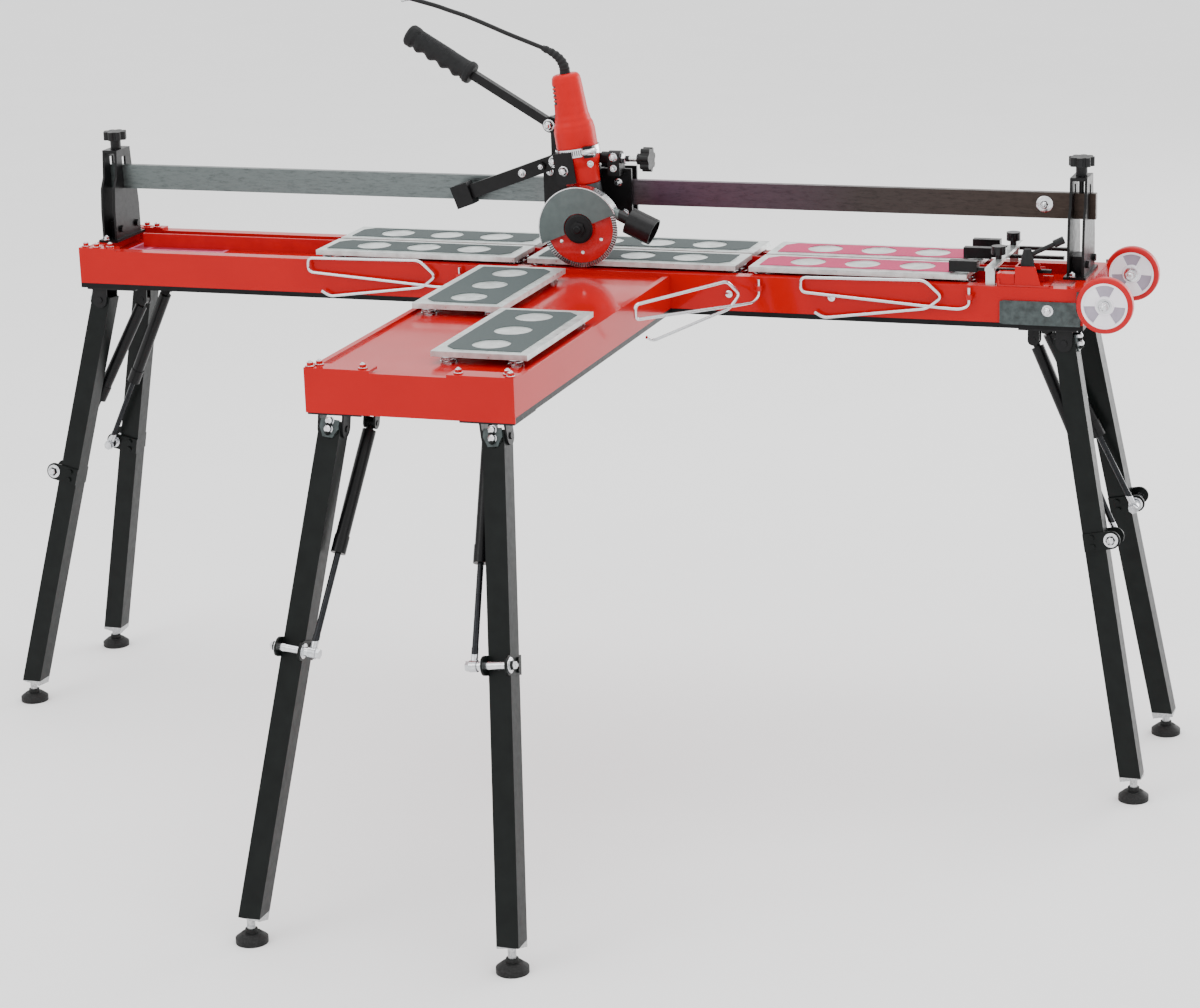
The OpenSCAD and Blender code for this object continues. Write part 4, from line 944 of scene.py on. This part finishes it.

# %% [markdown]
# ## Wheels
# Each transport wheel has a red tyre on a pale moulded hub. Three wedges of the hub are raised and three are
# sunk; the sunk ones are thin slabs in a darker copy of the hub's white, which is painted shade.


# %% Moulded wheels
def sector(centre, side, r0, r1, start, stop, depth, steps=14):
    """A flat slab shaped like a slice of a ring, standing out from the wheel's face."""
    verts = []
    for y in (0, depth):
        for r in (r0, r1):
            for k in range(steps + 1):
                a = math.radians(start + (stop - start) * k / steps)
                verts.append(centre + Vector((r * math.cos(a), side * y, r * math.sin(a))))
    n = steps + 1
    faces = []
    for k in range(steps):
        faces += [(2 * n + k, 2 * n + k + 1, 3 * n + k + 1, 3 * n + k), (k + 1, k, n + k, n + k + 1),
                  (k, k + 1, 2 * n + k + 1, 2 * n + k), (n + k + 1, n + k, 3 * n + k, 3 * n + k + 1)]
    return verts, faces + [(0, n, 3 * n, 2 * n), (n + steps, steps, 2 * n + steps, 3 * n + steps)]


for name, side in (("wheel_front", -1), ("wheel_back", 1)):
    low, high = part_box(name)
    middle = (low + high) / 2
    out = Vector((0, side, 0))
    w = (high.y - low.y) / 2
    r = (high.x - low.x) / 2
    near = [(r - 0.0085, w - 0.0016), (r - 0.0075, w), (r - 0.0030, w), (r - 0.0008, w - 0.0012),
            (r, w - 0.0038)]
    ring = [(reach, -level) for reach, level in near] + near[::-1] + [(r - 0.0085, -w + 0.0016)]
    rubber = piece(name + "_tyre", *turned(ring, middle, out, 96, caps=False), name, wheel_red, "wheel_red",
                   keep=0.9)
    disc = [(0.0345, 0.0002), (0.0352, w * 0.5), (0.0352, w * 0.93), (0.0320, w * 0.93), (0.0312, w * 0.62),
            (0.0150, w * 0.62), (0.0135, w * 0.99), (0.0070, w * 0.99)]
    parts = [turned(disc, middle, out * s, 72) for s in (1, -1)]
    for a in (30, 150, 270):
        for s in (1, -1):
            spot = middle + out * s * w * 0.60
            parts.append(sector(spot, side * s, 0.0145, 0.0316, a - 32, a + 32, w * 0.20))
    piece(name + "_hub", *merge(parts), name, hub_white, "wheel_red", keep=0.5)
    nuts = merge([bolt(middle + out * s * (w * 0.93), out * s, 0.0190, 1.05) for s in (1, -1)])
    piece(name + "_nuts", *nuts, name, bright, "zinc", keep=0.5)
    # Thin slabs in the sunk wedges, in the darker hub colour: painted shade.
    dark = [sector(middle + out * s * w * 0.60, side * s, 0.0150, 0.0312, a - 27, a + 27, w * 0.03)
            for a in (90, 210, 330) for s in (1, -1)]
    piece(name + "_pockets", *merge(dark), name, hub_painted_shade, "wheel_red", smooth=False)
    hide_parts(name)
print("wheels", 2)

# %% [markdown]
# ## Label
# A pale label lies on the deck at the plain end. It has blocks of colour where a maker would print its text.

# %% Deck label
label_mat = finish("label_print", (0.60, 0.16, 0.28), rough=(0.3, 0.4), grain=70, vary=0.15)
band_mat = finish("label_band", (0.30, 0.02, 0.05), rough=(0.3, 0.4), grain=70, vary=0.15)


def patch(x0, y0, x1, y1, thick):
    """A thin flat block on the deck between two corners."""
    corners = ((x0, y0), (x1, y0), (x1, y1), (x0, y1))
    verts = [at(x, y, z) for z in (DECK, DECK + thick) for x, y in corners]
    return verts, [(3, 2, 1, 0), (4, 5, 6, 7), (0, 1, 5, 4), (1, 2, 6, 5), (2, 3, 7, 6), (3, 0, 4, 7)]


label = patch(0.044, 0.094, 0.222, 0.158, 0.0004)
piece("deck_label", *label, "root", label_mat, "red_paint", smooth=False)
blocks = [patch(0.050, 0.100, 0.074, 0.152, 0.0006), patch(0.082, 0.128, 0.150, 0.150, 0.0006),
          patch(0.082, 0.102, 0.216, 0.120, 0.0006), patch(0.160, 0.128, 0.216, 0.150, 0.0006)]
piece("label_blocks", *merge(blocks), "root", band_mat, "red_paint", smooth=False)

# %% [markdown]
# ### Wheel arms
# Each wheel turns on an arm bolted to the tray: a straight plate on the side of the tray, and past the tray's
# end a round-ended strap that carries the axle.


# %% Plates and straps
def sheet(corners, y0, y1):
    """A flat outline in an upright plane, given a thickness from front to back."""
    verts = [at(x, y, z) for y in (y0, y1) for x, z in corners]
    n = len(corners)
    faces = [tuple(range(n)), tuple(range(2 * n - 1, n - 1, -1))]
    return verts, faces + [(k, n + k, n + (k + 1) % n, (k + 1) % n) for k in range(n)]


AXLE_X, AXLE_Z = 1.736, 0.7753
STRAP_R = 0.0158


def strap(side):
    """One plate and strap; side is -1 at the front and 1 at the back."""
    face = -0.0002 if side < 0 else 0.2442
    outer = face + side * 0.0029
    plate = [(1.572, 0.738), (1.578, 0.7365), (1.696, 0.7365), (1.696, 0.7735), (1.578, 0.7735),
             (1.572, 0.772)]
    tail = [(1.690, AXLE_Z - 0.0150), (1.690, AXLE_Z + 0.0150)]
    tail += [(AXLE_X + STRAP_R * math.sin(a), AXLE_Z + STRAP_R * math.cos(a))
             for a in [math.pi * k / 20 for k in range(21)]]
    axle = turned([(0.0048, 0.0), (0.0048, 0.0235)], at(AXLE_X, outer, AXLE_Z), (0, side, 0), 28)
    return merge([sheet(plate, face, outer), sheet(tail, face, outer), axle])


arms = piece("wheel_straps", *merge([strap(-1), strap(1)]), "root", dark_plate, "dark_plate", smooth=False)
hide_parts("wheel_arms")

# %% [markdown]
# ### Stop bracket
# The end stop's bracket is one folded sheet on the front rim: a low box, and beside it a taller box with one
# slanted edge.

# %% Folded bracket
low_box = [(1.566, 0.7942), (1.566, 0.8135), (1.593, 0.8135), (1.593, 0.7942)]
low_lid = [(1.566, 0.8112), (1.566, 0.8135), (1.593, 0.8135), (1.593, 0.8112)]
tall_box = [(1.5935, 0.7942), (1.5945, 0.8255), (1.6255, 0.8255), (1.6350, 0.7942)]
tall_side = [(1.5935, 0.7942), (1.5945, 0.8255), (1.5970, 0.8255), (1.5960, 0.7942)]
bracket = merge([sheet(low_box, 0.004, 0.0062), sheet(low_box, 0.030, 0.0322), sheet(tall_box, 0.003, 0.0055),
                 sheet(tall_box, 0.034, 0.0365), sheet(tall_side, 0.0055, 0.034),
                 sheet(low_lid, 0.0062, 0.030)])
piece("stop_bracket", *bracket, "root", red_paint, "red_paint", smooth=False)

# %% [markdown]
# ## Floor and light
# The floor is plain and pale. Large soft lights stand to the left, to the right, behind and above, and a
# bright surround fills the rest, so that the red paint has something white to reflect.

# %% Floor
mesh = bpy.data.meshes.new("floor")
mesh.from_pydata([(-40, -40, 0), (40, -40, 0), (40, 60, 0), (-40, 60, 0)], [], [(0, 1, 2, 3)])
floor = bpy.data.objects.new("floor", mesh)
bpy.context.scene.collection.objects.link(floor)
floor.data.materials.append(finish("floor_paper", (0.93, 0.93, 0.93), rough=(0.85, 0.95), grain=3, vary=0.01))

# %% Lights
world = bpy.data.worlds.new("studio")
bpy.context.scene.world = world
world.use_nodes = True
world.node_tree.nodes["Background"].inputs["Color"].default_value = (1.0, 1.0, 1.0, 1)
world.node_tree.nodes["Background"].inputs["Strength"].default_value = 1.65


def softbox(name, spot, target, size, power):
    """A large square light that looks at a point."""
    lamp = bpy.data.lights.new(name, "AREA")
    lamp.shape = "SQUARE"
    lamp.size = size
    lamp.energy = power
    obj = bpy.data.objects.new(name, lamp)
    bpy.context.scene.collection.objects.link(obj)
    direction = Vector(target) - Vector(spot)
    obj.matrix_world = Matrix.Translation(spot) @ direction.to_track_quat("-Z", "Y").to_matrix().to_4x4()


softbox("key", (-2.6, -3.4, 3.6), (0, 0, 0.6), 2.2, 45)
softbox("fill", (3.8, -2.4, 2.4), (0, 0, 0.6), 2.4, 14)
softbox("rim", (3.4, 4.8, 1.3), (0.2, 0, 0.5), 3.0, 170)
softbox("top", (0.2, 0.6, 4.2), (0, 0, 0.7), 3.0, 70)
print("lights", 4)
